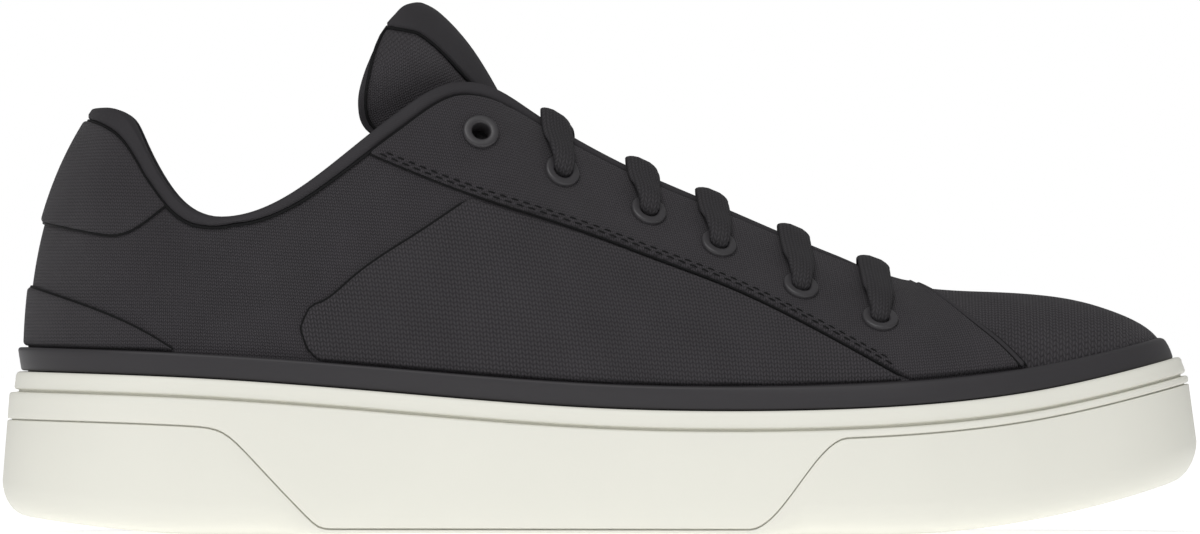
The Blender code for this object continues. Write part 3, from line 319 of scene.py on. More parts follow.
def rib_curve():
    """The rows of the last as one closed curve round the foot, and where each row is on it."""
    rows = np.array(RIBS, float)
    column = {name: rows[:, i] for i, name in enumerate(RIB_COLUMNS)}
    middle = (column["medial"] - column["lateral"]) / 2
    foot = np.stack([column["foot_x"], middle], 1)
    top = np.stack([column["top_x"], column["half"], column["top_z"]], 1)
    gaps = np.linalg.norm(np.diff(foot, axis=0), axis=1) + np.linalg.norm(np.diff(top, axis=0), axis=1)
    knots = np.concatenate([[0], np.cumsum(gaps)]) / gaps.sum()
    shared = rows[:, [RIB_COLUMNS.index(n) for n in SHARED_COLUMNS]]
    lateral = np.column_stack([shared, column["lateral"], -column["half"]])
    medial = np.column_stack([shared, column["medial"], column["half"]])
    loop = np.concatenate([lateral, medial[-2::-1]])
    return cubic(np.concatenate([knots, 2 - knots[-2::-1]]), loop, periodic=True), knots


ribs_at, rib_knots = rib_curve()
S_THROAT = rib_knots[THROAT_END]


def along(s):
    """Way from heel to toe, the same on both sides."""
    s = np.mod(s, 2.0)
    return np.where(s > 1, 2 - s, s)


def on_side(ribs, side):
    return ribs if side == "lateral" else 2 - ribs


def top_line_run(s):
    """Way of the top line ahead, in x and z."""
    near, step = np.clip(along(s), 3e-3, 1 - 3e-3), 1e-4
    return (ribs_at(near + step) - ribs_at(near - step))[..., [1, 3]]


def rib_handles(s):
    """Foot, two handles and top of the ribs at s."""
    s = np.asarray(s, float)
    row, step = ribs_at(s), 1e-4
    foot_x, top_x, mid, top_z, lean, roll, rise, reach, foot_y, half = np.moveaxis(row, -1, 0)
    medial = np.mod(s, 2) > 1
    half = np.where(medial, np.maximum(half, 0), np.minimum(half, 0))
    half = np.where(along(s) >= S_THROAT - 1e-9, 0.0, half)
    foot = np.stack([foot_x, foot_y, bed_line(foot_x) + GAP], -1)
    top = np.stack([top_x, mid + half, top_z], -1)
    ahead, behind = ribs_at(s + step), ribs_at(s - step)
    run = ahead[..., [0, 8]] - behind[..., [0, 8]]
    outward = unit(np.stack([run[..., 1], -run[..., 0]], -1))
    lean, roll = np.radians(lean), np.radians(np.clip(roll, 0, 90))
    foot_way = np.concatenate([outward * np.sin(lean)[..., None], np.cos(lean)[..., None]], -1)
    side_way = unit(foot[..., :2] - top[..., :2])
    top_run = top_line_run(s)
    steep = np.clip(top_run[..., 1] / top_run[..., 0], -0.5, 0.5)
    down = side_way[..., 0] * steep * np.cos(roll) - np.sin(roll)
    top_way = np.concatenate([side_way * np.cos(roll)[..., None], down[..., None]], -1)
    span = np.linalg.norm(top - foot, axis=-1)
    return foot, foot + foot_way * (span * rise)[..., None], top + top_way * (span * reach)[..., None], top


def on_ribs(handles, t):
    """Points at t of ribs whose foot, handles and top are known."""
    a, b, c, d = handles
    t = t[..., None]
    return a * (1 - t)**3 + 3 * b * t * (1 - t)**2 + 3 * c * t * t * (1 - t) + d * t**3


def surface(s, t):
    """Points on the outside of the upper."""
    s, t = np.broadcast_arrays(np.asarray(s, float), np.asarray(t, float))
    return on_ribs(rib_handles(s), t)


def normal(s, t):
    """Outward from the upper."""
    s, t = np.broadcast_arrays(np.asarray(s, float), np.asarray(t, float))
    step = 1e-4
    low, high = np.clip(t - step, 0, 1), np.clip(t + step, 0, 1)
    back, ahead = s - step, s + step
    ridge = (along(s) >= S_THROAT - 1e-9) & (t > 1 - 1e-6)
    found = unit(np.cross(surface(ahead, t) - surface(back, t), surface(s, high) - surface(s, low)))
    run = top_line_run(s)
    on_ridge = unit(np.stack([-run[..., 1], np.zeros_like(s), run[..., 0]], -1))
    return np.where(ridge[..., None], on_ridge, found)


def t_at(s, line):
    """Where the ribs at s pass a side line, going up."""
    handles = rib_handles(s)

    def above(t):
        point = on_ribs(handles, t)
        return point[..., 2] > line(point[..., 0])

    return bisected(np.zeros(np.shape(s)), np.ones(np.shape(s)), above)


def wall(s, t):
    """Thickness of the upper, more where the collar is padded."""
    collar = 1 - smooth(*PAD_FADES, ribs_at(s)[..., 1])
    closing = 1 - (1 - PAD_AT_TOP) * smooth(*PAD_CLOSES, t)
    return WALL + COLLAR_PAD * collar * smooth(*PAD_SWELLS, t) * closing


def crease_lines():
    """Depth, half width and points of the creases, on both sides."""
    lines = []
    for depth, half_width, way in CREASES:
        way = np.array(way)
        steps = np.linspace(0, len(way) - 1, 25)
        for side in SIDES:
            s = np.interp(steps, np.arange(len(way)), on_side(way[:, 0], side))
            t = np.interp(steps, np.arange(len(way)), way[:, 1])
            lines.append((depth, half_width, surface(s, t)))
    return lines


CREASE_LINES = crease_lines()


def dent(points):
    """Height of troughs and ridges at points of the upper."""
    found = np.zeros(points.shape[:-1])
    flat = points.reshape(-1, 3)
    for depth, half_width, line in CREASE_LINES:
        away = np.min(np.linalg.norm(flat[:, None] - line[None], axis=-1), axis=1)
        found += (depth * np.exp(-(away / half_width)**2)).reshape(found.shape)
    return found


def skin(s, t, lift=0.0):
    """Points over the upper with its creases."""
    point = surface(s, t)
    return point + normal(s, t) * (lift + dent(point))[..., None]


OPEN_RIBS = S_THROAT * np.linspace(0, 1, OPEN_COUNT)
VAMP_RIBS = np.linspace(S_THROAT, 1, VAMP_COUNT)[1:]
SIDE_RIBS = np.concatenate([OPEN_RIBS, VAMP_RIBS])
LOOP_RIBS = np.concatenate([SIDE_RIBS, 2 - SIDE_RIBS[-2:0:-1]])
HEEL_RIBS = np.concatenate([SIDE_RIBS[SIDE_RIBS < HEEL_SPAN][::-1], -SIDE_RIBS[SIDE_RIBS < HEEL_SPAN][1:]])
ROUND_THE_FOOT = lengths(surface(SIDE_RIBS, 0.5))  # from the heel to each rib, at half height


def rib_cloth(s, t):
    """Cloth coordinates on the upper: round the foot from the heel, and up each rib."""
    s, t = np.broadcast_arrays(np.asarray(s, float), np.asarray(t, float))
    run = np.interp(along(s), SIDE_RIBS, ROUND_THE_FOOT) * np.where(np.mod(s, 2) > 1, -1, 1)
    handles = [h[..., None, :] for h in rib_handles(s)]
    way_up = on_ribs(handles, t[..., None] * np.linspace(0, 1, 20))
    climb = np.linalg.norm(np.diff(way_up, axis=-2), axis=-1).sum(-1)
    return np.stack([run, climb], -1)


# Meshes

class Patch:
    """Part of a mesh: a grid of points with cloth coordinates, in millimetres, and a material number."""

    def __init__(self, points, cloth=None, finish=0):
        self.points = np.asarray(points, float)
        self.cloth = cloth_of(self.points) if cloth is None else cloth
        rows, columns = self.points.shape[:2]
        self.finish = np.broadcast_to(finish, (rows - 1, columns - 1)).ravel()

    def faces(self, first):
        rows, columns = self.points.shape[:2]
        index = first + np.arange(rows * columns).reshape(rows, columns)
        corners = index[:-1, :-1], index[1:, :-1], index[1:, 1:], index[:-1, 1:]
        return np.stack(corners, -1).reshape(-1, 4)


def cloth_of(points):
    """Distance along the middle of a grid, and across each of its rows."""
    run = lengths(points[:, points.shape[1] // 2])
    return np.stack([np.broadcast_to(run[:, None], points.shape[:2]), lengths(points, 1)], -1)


def added(name, data):
    """A new object in the scene."""
    obj = bpy.data.objects.new(name, data)
    bpy.context.scene.collection.objects.link(obj)
    return obj


def mesh_of(bm, name):
    mesh = bpy.data.meshes.new(name)
    bm.to_mesh(mesh)
    bm.free()
    return mesh


def bare_mesh(name, patches):
    """One mesh of patches that meet edge to edge."""
    firsts = np.cumsum([0] + [p.points[..., 0].size for p in patches])
    points = np.concatenate([p.points.reshape(-1, 3) for p in patches]) * MM
    cloth = np.concatenate([p.cloth.reshape(-1, 2) for p in patches])
    faces = np.concatenate([p.faces(first) for p, first in zip(patches, firsts)])
    mesh = bpy.data.meshes.new(name)
    mesh.from_pydata(points.tolist(), [], faces.tolist())
    at_corners = cloth[faces.ravel()].astype(np.float32)
    mesh.uv_layers.new(name="cloth").uv.foreach_set("vector", at_corners.ravel())
    finishes = np.concatenate([p.finish for p in patches]).astype(np.int32)
    mesh.polygons.foreach_set("material_index", finishes)
    bm = bmesh.new()
    bm.from_mesh(mesh)
    bmesh.ops.remove_doubles(bm, verts=bm.verts, dist=2e-6)
    bmesh.ops.recalc_face_normals(bm, faces=bm.faces)
    bm.to_mesh(mesh)
    bm.free()
    return mesh


def piece(name, patches, materials, nodes=(), sharp=SHARP):
    """A mesh that rides on the part in place of some solids."""
    mesh = bare_mesh(name, patches)
    for material in materials:
        mesh.materials.append(material)
    mesh.shade_smooth()
    mesh.set_sharp_from_angle(angle=math.radians(sharp))
    obj = added(name, mesh)
    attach(obj, "root")
    if nodes:
        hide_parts(*nodes)
    return obj


def cut_away(objects, mesh):
    """Cuts a mesh out of some pieces and keeps what is left of them."""
    cutter = added(mesh.name, mesh)
    for obj in objects:
        cut = obj.modifiers.new("cut", "BOOLEAN")
        cut.operation, cut.solver, cut.object = "DIFFERENCE", "EXACT", cutter
        graph = bpy.context.evaluated_depsgraph_get()
        whole = obj.data
        obj.data = bpy.data.meshes.new_from_object(obj.evaluated_get(graph), depsgraph=graph)
        obj.data.set_sharp_from_angle(angle=math.radians(SHARP))
        obj.modifiers.clear()
        bpy.data.meshes.remove(whole)
    bpy.data.objects.remove(cutter)
    bpy.data.meshes.remove(mesh)


def strip(first, second, finish=0):
    return Patch(np.stack([first, second], 1), finish=finish)


def tube(path, out, radius, flat=1.0, sides=8):
    """A cord lying along a path, with round ends; flat is its height over its width."""
    way = unit(np.gradient(path, axis=0))
    side = unit(np.cross(way, out))
    up = np.cross(side, way)
    radius = np.broadcast_to(radius, len(path)).copy()
    radius[[0, -1]] = 0
    angles = np.linspace(0, 2 * math.pi, sides + 1)[None, :, None]
    ring = side[:, None] * np.cos(angles) + up[:, None] * flat * np.sin(angles)
    return Patch(path[:, None] + ring * radius[:, None, None])


def picked(path, run, at):
    """Points at some distances along a path."""
    return np.stack([np.interp(at, run, path[:, i]) for i in range(3)], 1)


def dashes(path, out):
    """Stitches along a path: short threads that dip in at both ends."""
    run = lengths(path)
    patches = []
    shares, swell, height = np.array(STITCH_SHAPE).T
    for start in np.arange(STITCH_GAP, run[-1] - STITCH_DASH, STITCH_DASH + STITCH_GAP):
        at = start + shares * STITCH_DASH
        line, up = picked(path, run, at), unit(picked(out, run, at))
        patches.append(tube(line + up * height[:, None], up, STITCH_RADIUS * swell, SEAM_FLAT, 6))
    return patches


# Sole

def toe_share(x):
    return smooth(TOE_SIDE_FROM, TOE_SIDE_TO, x)


def bottom_line(x):
    """Lowest line of the sole, bevelled at the heel and sprung at the toe."""
    back = np.clip(HEEL_BEVEL_FROM - x, 0, None) / (BOTTOM_END + HEEL_BEVEL_FROM)
    front = np.clip(x - TOE_SPRING_FROM, 0, None) / (BOTTOM_END - TOE_SPRING_FROM)
    return HEEL_BEVEL * back**HEEL_BEVEL_POWER + TOE_SPRING * front**TOE_SPRING_POWER


def arch_share(x):
    return smooth(ARCH_FROM, ARCH_FROM + ARCH_BLEND, x) * (1 - smooth(ARCH_TO - ARCH_BLEND, ARCH_TO, x))


def bottom_edge(x):
    return bottom_line(x) + ARCH_EDGE_RISE * arch_share(x)


def step_line(x):
    return rim_line(x) - LIP_HEIGHT


def part_line(x):
    """Where outsole and midsole meet on the side: high at heel and forefoot, a strip between."""
    heel_top = step_line(x) - PART_HEEL_DROP
    ramp = (HEEL_RAMP[1] - x) * (heel_top - PART_STRIP) / (HEEL_RAMP[1] - HEEL_RAMP[0])
    heel = -RAMP_HEAD_SOFT * np.logaddexp(-(heel_top - PART_STRIP) / RAMP_HEAD_SOFT, -ramp / RAMP_HEAD_SOFT)
    heel = RAMP_FOOT_SOFT * np.logaddexp(0, heel / RAMP_FOOT_SOFT)
    toe = (step_line(x) - PART_TOE_DROP - PART_STRIP) * smooth(*TOE_RAMP, x)
    return PART_STRIP + np.maximum(heel * (x < 0), toe * (x > 0))


def corner_height(x):
    """Height of the sole's round bottom corner."""
    return np.minimum(CORNER_HEIGHT, CORNER_SHARE * (part_line(x) - bottom_line(x)))


def plate_line(x):
    return bottom_line(x) + PLATE


class Loop:
    """The upper's line at rim height, from which the sole's rings stand out."""

    def __init__(self):
        self.rim_t = t_at(LOOP_RIBS, rim_line)
        self.base = surface(LOOP_RIBS, self.rim_t)[:, :2]
        step = 1e-3
        run = surface(LOOP_RIBS + step, self.rim_t)[:, :2] - surface(LOOP_RIBS - step, self.rim_t)[:, :2]
        self.out = unit(np.stack([run[:, 1], -run[:, 0]], 1))
        self.x = self.base[:, 0]
        share = toe_share(self.x)
        self.sizes = {n: a + (b - a) * share for n, a, b in zip(SIDE_COLUMNS, SIDE_AT_HEEL, SIDE_AT_TOE)}
        self.corner = corner_height(self.x)

    def ring(self, offset, height):
        xy = self.base + self.out * np.broadcast_to(offset, len(self.base))[:, None]
        return np.column_stack([xy, height(xy[:, 0])])

    def side(self, z_of, inset=0.0):
        """A ring on the sloping side between the bottom corner and the step."""
        flare, top = self.sizes["flare"], self.sizes["under_step"]
        corner, step = bottom_line(self.x) + self.corner, step_line(self.x)
        share = np.clip((z_of(self.x) - corner) / (step - corner), 0, 1)
        return self.ring(flare + (top - flare) * share - inset, z_of)


def beside(t, offset):
    """A ring at t of the ribs, moved level out from the upper."""
    offset = np.broadcast_to(offset, len(LOOP_RIBS))[:, None]
    return surface(LOOP_RIBS, t) + unit(normal(LOOP_RIBS, t) * [1, 1, 0]) * offset


def two_sides(ring):
    """The lateral and the medial half of a ring, both from heel to toe."""
    half = len(ring) // 2
    return ring[:half + 1], np.concatenate([ring[:1], ring[:half - 1:-1]])


def across(ring, columns, height):
    """Rows of points from the lateral to the medial half of a ring, to close it like a plank."""
    lateral, medial = two_sides(ring)
    shares = np.linspace(0, 1, columns)[None, :, None]
    grid = lateral[:, None] * (1 - shares) + medial[:, None] * shares
    grid[..., 2] = height(grid, 1 - (2 * shares[..., 0] - 1)**2)
    return grid


def ringed(rings):
    return Patch(closed(np.array(rings), 1))


def edge_round(x):
    """Radius of the outsole's upper edge, less where the strip is thin."""
    return np.minimum(EDGE_ROUND, EDGE_ROUND_SHARE * (part_line(x) - bottom_line(x)))


def underside(grid, middle):
    """Plain bottom, hollow under the arch."""
    x = grid[..., 0]
    return bottom_edge(x) + (ARCH_RISE - ARCH_EDGE_RISE) * arch_share(x) * middle


def groove(x, low, high):
    """A zigzag bar across the sole from y low to y high, to be cut out of its bottom."""
    turns = np.arange(math.ceil(low / TREAD_WAVE_LENGTH * 2), math.floor(high / TREAD_WAVE_LENGTH * 2) + 1)
    y = np.concatenate([[low], turns * TREAD_WAVE_LENGTH / 2, [high]])
    wave = TREAD_WAVE * (1 - 2 * np.abs(np.mod(y / TREAD_WAVE_LENGTH, 1) * 2 - 1))
    ahead = np.array([1.0, 0, 0])
    path = np.stack([x + wave, y, bottom_line(x + wave)], 1)
    wide = TREAD_HALF + TREAD_SLOPE
    below = np.array([0, 0, -TREAD_DEPTH])
    section = [
        path + below - ahead * (wide + TREAD_SLOPE), path - below - ahead * TREAD_HALF,
        path - below + ahead * TREAD_HALF, path + below + ahead * (wide + TREAD_SLOPE),
    ]
    grid = closed(np.stack(section, 1), 1)
    ends = [Patch(np.stack([grid[i, [0, 1]], grid[i, [3, 2]]], 0)) for i in (0, -1)]
    return [Patch(grid)] + ends


def tread_grooves(edge):
    """Grooves under heel and forefoot that stop short of the sole's edge."""
    lateral, medial = two_sides(edge)
    patches = []
    for back, front in TREAD_SPANS:
        for x in np.arange(back, front, TREAD_PITCH):
            low = np.interp(x, lateral[:, 0], lateral[:, 1]) + TREAD_MARGIN
            high = np.interp(x, medial[:, 0], medial[:, 1]) - TREAD_MARGIN
            if high - low > TREAD_WAVE_LENGTH:
                patches += groove(x, low, high)
    return patches


def outsole(loop, material):
    """Tread and side walls below the part line."""
    width = CORNER_WIDTH * loop.corner / CORNER_HEIGHT
    rings = []
    for level, upright in corner(*np.linspace(0, 90, 9)):
        lift = loop.corner * upright
        rings.append(loop.ring(loop.sizes["flare"] - width * level, lambda px: bottom_edge(px) + lift))
    for share in (0.5, 1.0):
        def climb(px):
            foot = bottom_edge(px) + corner_height(px)
            return foot + (part_line(px) - edge_round(px) - foot) * share
        rings.append(loop.side(climb))
    for level, upright in corner(30, 60, 90):
        def turn(px):
            return part_line(px) - edge_round(px) * level
        rings.append(loop.side(turn, edge_round(loop.x) * upright))
    rings.append(loop.side(part_line, PART_DEPTH))
    rings.append(loop.side(lambda px: part_line(px) + 0.9 * GAP, PART_DEPTH))
    rings.append(loop.ring(WRAP_TOP_OUT, lambda px: np.maximum(part_line(px), plate_line(px)) + 0.9 * GAP))
    rings.append(loop.ring(WRAP_FOOT_OUT, plate_line))
    bottom = across(rings[0], 24, underside)
    bed = across(rings[-1], 5, lambda grid, middle: plate_line(grid[..., 0]))
    patches = [ringed(rings), Patch(bottom), Patch(bed)]
    sole = piece("outsole_rubber", patches, [material], ["outsole"])
    cut_away([sole], bare_mesh("tread_cutter", tread_grooves(rings[0])))


def midsole(loop, material):
    """Cup above the part line, with its lip and the bed inside."""
    size = loop.sizes
    rings = [
        loop.ring(WRAP_FOOT_OUT - GAP, lambda px: plate_line(px) + GAP),
        loop.ring(WRAP_TOP_OUT - GAP, lambda px: np.maximum(part_line(px), plate_line(px)) + GAP),
    ]
    for level, upright in corner(90, 60, 30, 0):
        def turn(px):
            return part_line(px) + GAP + EDGE_ROUND * level
        rings.append(loop.side(turn, EDGE_ROUND * upright))
    for share in (0.25, 0.5, 0.75, 1.0):
        def climb(px):
            foot = part_line(px) + GAP + EDGE_ROUND
            return foot + (step_line(px) - 2.2 * GROOVE_HALF - foot) * share
        rings.append(loop.side(climb))
    shoulder, lip = size["under_step"], size["lip_foot"]
    groove = lip - GROOVE_DEPTH
    ways = (
        (shoulder - 0.12, -1.5), (shoulder - 0.45, -1.0), (lip - 0.35, -0.85), (groove, -0.6), (groove, 0.4),
        (lip - 0.35, 0.8), (lip - 0.1, 1.15), (lip, 1.8),
    )
    for offset, steps in ways:
        rings.append(loop.ring(offset, lambda px: step_line(px) + steps * GROOVE_HALF))
    for share in (0.4, 0.7, 1.0):
        offset = lip + (size["lip_side"] - lip) * share
        rings.append(loop.ring(offset, lambda px: step_line(px) + 1 + (LIP_HEIGHT - RIM_ROUND - 1) * share))
    for level, upright in corner(25, 50, 70, 90):
        offset = size["lip_side"] - (size["lip_side"] - size["rim_edge"]) * upright
        rings.append(loop.ring(offset, lambda px: rim_line(px) - RIM_ROUND * level))
    for share, height in ((1.0, rim_line), (0.75, None), (0.5, None), (0.25, None), (0.0, bed_line)):
        ring = beside(loop.rim_t * share, GAP)
        if height:
            ring[:, 2] = height(ring[:, 0])
        rings.append(ring)
    under = across(rings[0], 5, lambda grid, middle: plate_line(grid[..., 0]) + GAP)
    bed = across(rings[-1], 5, lambda grid, middle: bed_line(grid[..., 0]))
    patches = [ringed(rings), Patch(under), Patch(bed)]
    return piece("midsole_rubber", patches, [material], ["midsole"], sharp=60)


def foxing(loop, material):
    """Dark band round the foot of the upper, with round edges."""
    share = toe_share(loop.x)
    top = FOXING_TOP[0] + (FOXING_TOP[1] - FOXING_TOP[0]) * share
    foot = FOXING_FOOT[0] + (FOXING_FOOT[1] - FOXING_FOOT[0]) * share
    ways = [(None, FOXING_LOW), (None, FOXING_HEIGHT)]
    for level, upright in corner(0, 30, 60, 90):
        ways.append((FOXING_TOP_ROUND * level, FOXING_HEIGHT - FOXING_TOP_ROUND * upright))
    ways += [(0.0, FOXING_HEIGHT * 0.65), (0.0, FOXING_HEIGHT * 0.4)]
    for level, upright in corner(90, 45, 0):
        ways.append((FOXING_FOOT_ROUND * level, FOXING_LOW + FOXING_FOOT_ROUND * upright))
    sections = []
    for inset, height in ways:
        thick = foot + (top - foot) * height / FOXING_HEIGHT
        offset = FOXING_UNDER if inset is None else thick - inset
        sections.append(beside(t_at(LOOP_RIBS, lambda px: rim_line(px) + height), offset))
    grid = closed(closed(np.stack(sections, 1), 0), 1)
    return piece("foxing_band", [Patch(grid)], [material], ["foxing"])


def insole(material):
    """Board on the bed, a little dished."""
    rings = []
    for lift, inset in INSOLE_EDGE:
        t = t_at(LOOP_RIBS, lambda px: bed_line(px) + lift)
        ring = beside(t, -WALL - INSOLE_CLEAR - inset)
        ring[:, 2] = bed_line(ring[:, 0]) + lift
        rings.append(ring)
    under = across(rings[0], 3, lambda grid, middle: bed_line(grid[..., 0]) + INSOLE_EDGE[0][0])
    bed = across(rings[-1], 24, lambda grid, middle: bed_line(grid[..., 0]) + INSOLE - INSOLE_DISH * middle)
    patches = [ringed(rings), Patch(under), Patch(bed, bed[..., :2])]
    return piece("insole_board", patches, [material], ["insole"])


# Upper and overlays

def upper(quarter_knit, vamp_knit, lining):
    """Knit outside, lining inside; in front of the eyestays the knit is coarser and runs along the foot."""
    patches = []
    for side in SIDES:
        ribs = on_side(SIDE_RIBS, side)
        s, t = np.meshgrid(ribs, np.linspace(0, 1, OUTER_COUNT), indexing="ij")
        outer = skin(s, t)
        cloth = rib_cloth(s, t)
        in_vamp = (outer[..., 0] > EYESTAY_FRONT[0][0]) & (outer[..., 2] > eyestay_front(outer[..., 0]) - 3)
        cloth[in_vamp] = outer[in_vamp][:, :2]
        both = in_vamp[:-1, :-1] & in_vamp[1:, 1:]
        s, t = np.meshgrid(ribs, np.linspace(0, 1, INNER_COUNT), indexing="ij")
        inner = surface(s, t) - normal(s, t) * wall(s, t)[..., None]
        patches.append(Patch(outer, cloth, np.where(both, 1, 0)))
        patches.append(Patch(inner, finish=2))
        patches.append(strip(outer[:, 0], inner[:, 0], 2))
        patches.append(strip(outer[:OPEN_COUNT, -1], inner[:OPEN_COUNT, -1], 2))
    return piece("upper_knit", patches, [quarter_knit, vamp_knit, lining], ["upper"])


def ribs_between(side, back, front):
    """Ribs of one side whose feet lie between two places."""
    foot_x = rib_handles(SIDE_RIBS)[0][:, 0]
    return on_side(SIDE_RIBS[(foot_x > back) & (foot_x < front)], side)


def ribs_with_room(ribs, foot, head):
    """The ribs where head is above foot, and closer ones at both ends, to where the room runs out."""
    def has_room(s):
        return head(s) - foot(s) > LEAST_ROOM

    inside = np.flatnonzero(has_room(ribs))
    found = list(ribs[inside])
    for last, beyond in ((inside[0], inside[0] - 1), (inside[-1], inside[-1] + 1)):
        near, far = ribs[last], ribs[beyond]
        for _ in range(16):
            middle = (near + far) / 2
            near, far = (middle, far) if has_room(middle) else (near, middle)
        found += [ribs[last] + (near - ribs[last]) * share for share in (0.3, 0.6, 0.8, 0.92, 1.0)]
    return np.sort(found)


def rolled(points):
    """Share of its full height that a sheet has at each of its points: none along its edges."""
    to_edge = np.minimum(lengths(points, 1), lengths(points[:, ::-1], 1)[:, ::-1])
    to_end = np.minimum(lengths(points), lengths(points[::-1])[::-1])
    away = np.clip(np.minimum(to_edge, to_end) / OVERLAY_ROLL, 0, 1)
    return np.sqrt(1 - (1 - away)**2)


def overlay(name, ribs, foot, head, lift, material, columns=30):
    """A sheet sewn on the upper between two heights of each rib, its edges rolled down."""
    shares = 0.5 - 0.5 * np.cos(np.linspace(0, math.pi, columns))
    s = np.repeat(ribs[:, None], columns, 1)
    t = foot(ribs)[:, None] * (1 - shares) + head(ribs)[:, None] * shares
    cloth = rib_cloth(s, t)
    outer = skin(s, t, UNDER + (lift - UNDER) * rolled(surface(s, t)))
    inner = skin(s, t, UNDER)
    return piece(f"{name}_knit", [Patch(outer, cloth), Patch(inner, cloth)], [material], [name])


def band_depth(s):
    """How far the binding's outer band reaches down."""
    points = np.array(BAND, float)
    return np.interp(ribs_at(s)[..., 1], points[:, 0], points[:, 1])


def under_band(s):
    """Top of the overlays: just below the binding's outer band."""
    handles = rib_handles(s)
    depth = band_depth(s) + GAP + UNDER_BAND

    def near(t):
        return np.linalg.norm(handles[-1] - on_ribs(handles, t), axis=-1) < depth

    return bisected(np.full(np.shape(s), 0.5), np.ones(np.shape(s)), near)


def eyestay_foot(s):
    return np.maximum(t_at(s, eyestay_lower), t_at(s, over_foxing))


def toe_edge(ahead):
    """The eyestays' front edge seen from the side, moved ahead, and clear of the throat at its tip."""
    return lambda px: eyestay_front(px - ahead - TIP_CLEAR * (1 - smooth(TIP_FROM, TIP_TO, px)))


def eyestay_head(s):
    """Top of the eyestays: under the band, and in front along their edge."""
    in_front = along(s) > S_THROAT - 1e-9
    return np.where(in_front, t_at(s, toe_edge(-EYESTAY_SHORT)), under_band(s))


def panel_foot(s):
    nose, foot_end = PANEL_LOWER[0][0], PANEL_LOWER[-1][0]

    def rear_foot(x):
        return np.where(x < foot_end, panel_lower(np.clip(x, nose, foot_end)), 0.0)

    return np.maximum(t_at(s, rear_foot), t_at(s, over_foxing))


def panel_head(s):
    nose, head_end = PANEL_UPPER[0][0], PANEL_UPPER[-1][0]

    def rear_head(x):
        return np.where(x < head_end, panel_upper(np.clip(x, nose, head_end)), INSTEP_HEIGHT)

    return np.minimum(t_at(s, rear_head), t_at(s, eyestay_lower) - PANEL_CLEAR)


def patch_foot(s):
    return t_at(s, patch_lower)


def counter_foot(s):
    return t_at(s, over_foxing)


def counter_head(s):
    return t_at(s, counter_upper)


def collar_binding(material):
    """A padded roll over the edge of collar and throat, with a deeper band outside."""
    ribs = np.concatenate([OPEN_RIBS, 2 - OPEN_RIBS[-2:0:-1]])
    top, out, thick = surface(ribs, 1.0), normal(ribs, 1.0), wall(ribs, 1.0)
    up = unit(top - surface(ribs, 0.97))
    run = top_line_run(ribs)
    back = unit(np.stack([-run[:, 0], 0 * ribs, -run[:, 1]], 1))
    share = smooth(S_THROAT - 0.012, S_THROAT - 1e-6, along(ribs))[:, None]
    up = unit(up * (1 - share) + back * share)
    band = band_depth(ribs)
    in_band = np.minimum(BINDING_INNER_BAND, band + 1.0)
    thin = 1 - BINDING_TIP * smooth(*BINDING_TIP_THINS, ribs_at(ribs)[:, 1])
    outer, inner = (GAP + BINDING_LEG) * thin, -thick - GAP - BINDING_LEG
    cap = (GAP + BINDING_CAP) * thin
    under, lining = BINDING_UNDER * thin, -thick - BINDING_INSIDE
    rows = [(under, -band)] + [(outer * leg, -band * depth) for leg, depth in BINDING_OUTSIDE]
    middle, half = (outer + inner) / 2, (outer - inner) / 2
    for angle in np.radians(np.linspace(0, 180, 13)):
        way = np.sign(math.cos(angle)) * abs(math.cos(angle))**BINDING_SQUARE[0]
        rows.append((middle + half * way, cap * math.sin(angle)**BINDING_SQUARE[1]))
    rows += [(inner, -in_band * 0.5), (inner, -in_band + BINDING_HEM), (inner + BINDING_HEM, -in_band)]
    rows += [(lining, -in_band), (lining, under), (under, under)]
    sections = [top + out * n[:, None] + up * e[:, None] for n, e in rows]
    grid = closed(closed(np.stack(sections, 1), 0), 1)
    return piece("collar_roll", [Patch(grid)], [material], ["collar_binding"])


# Tongue

def under_throat(rib, height):
    """Points inside the upper on the lateral and the medial side, clear of wall and binding."""
    points = []
    for s in (rib, 2 - rib):
        inset = wall(np.array(s), 1.0) + BINDING_LEG + 3 * GAP
        points.append(surface(s, height) - normal(s, height) * inset)
    return points


def tongue_front():
    """Front surface of the tongue from the vamp up to its free end, 11 points across."""
    rows = []
    for rib, edge_rib in TONGUE_RIBS:
        edge = under_throat(edge_rib, TONGUE_WING)
        shoulder = under_throat(rib, TONGUE_SHOULDER)
        lift = np.array([0, 0, TONGUE_CROWN if rib < S_THROAT else TONGUE_DIP])
        rows.append((edge[0], shoulder[0], (shoulder[0] + shoulder[1]) / 2 + lift, shoulder[1], edge[1]))
    for x, z, half, back, fall, bow, drop in TONGUE_TOP:
        row = []
        for a in (-1, -0.55, 0, 0.55, 1):
            row.append((x - back * abs(a)**bow, half * math.sin(a * math.pi / 2), z - fall * abs(a)**drop))
        rows.append(row)
    return np.array([cubic(np.arange(5), np.array(row))(np.linspace(0, 4, 11)) for row in rows])


def finer(grid, rows, columns):
    """A smooth grid with more rows and columns; old rows stay evenly spaced among the new ones."""
    knots = lengths(grid).mean(1)
    tall = cubic(knots, grid)(np.interp(np.linspace(0, len(grid) - 1, rows), np.arange(len(grid)), knots))
    wide = cubic(np.arange(grid.shape[1]), np.swapaxes(tall, 0, 1))
    return np.swapaxes(wide(np.linspace(0, grid.shape[1] - 1, columns)), 0, 1)


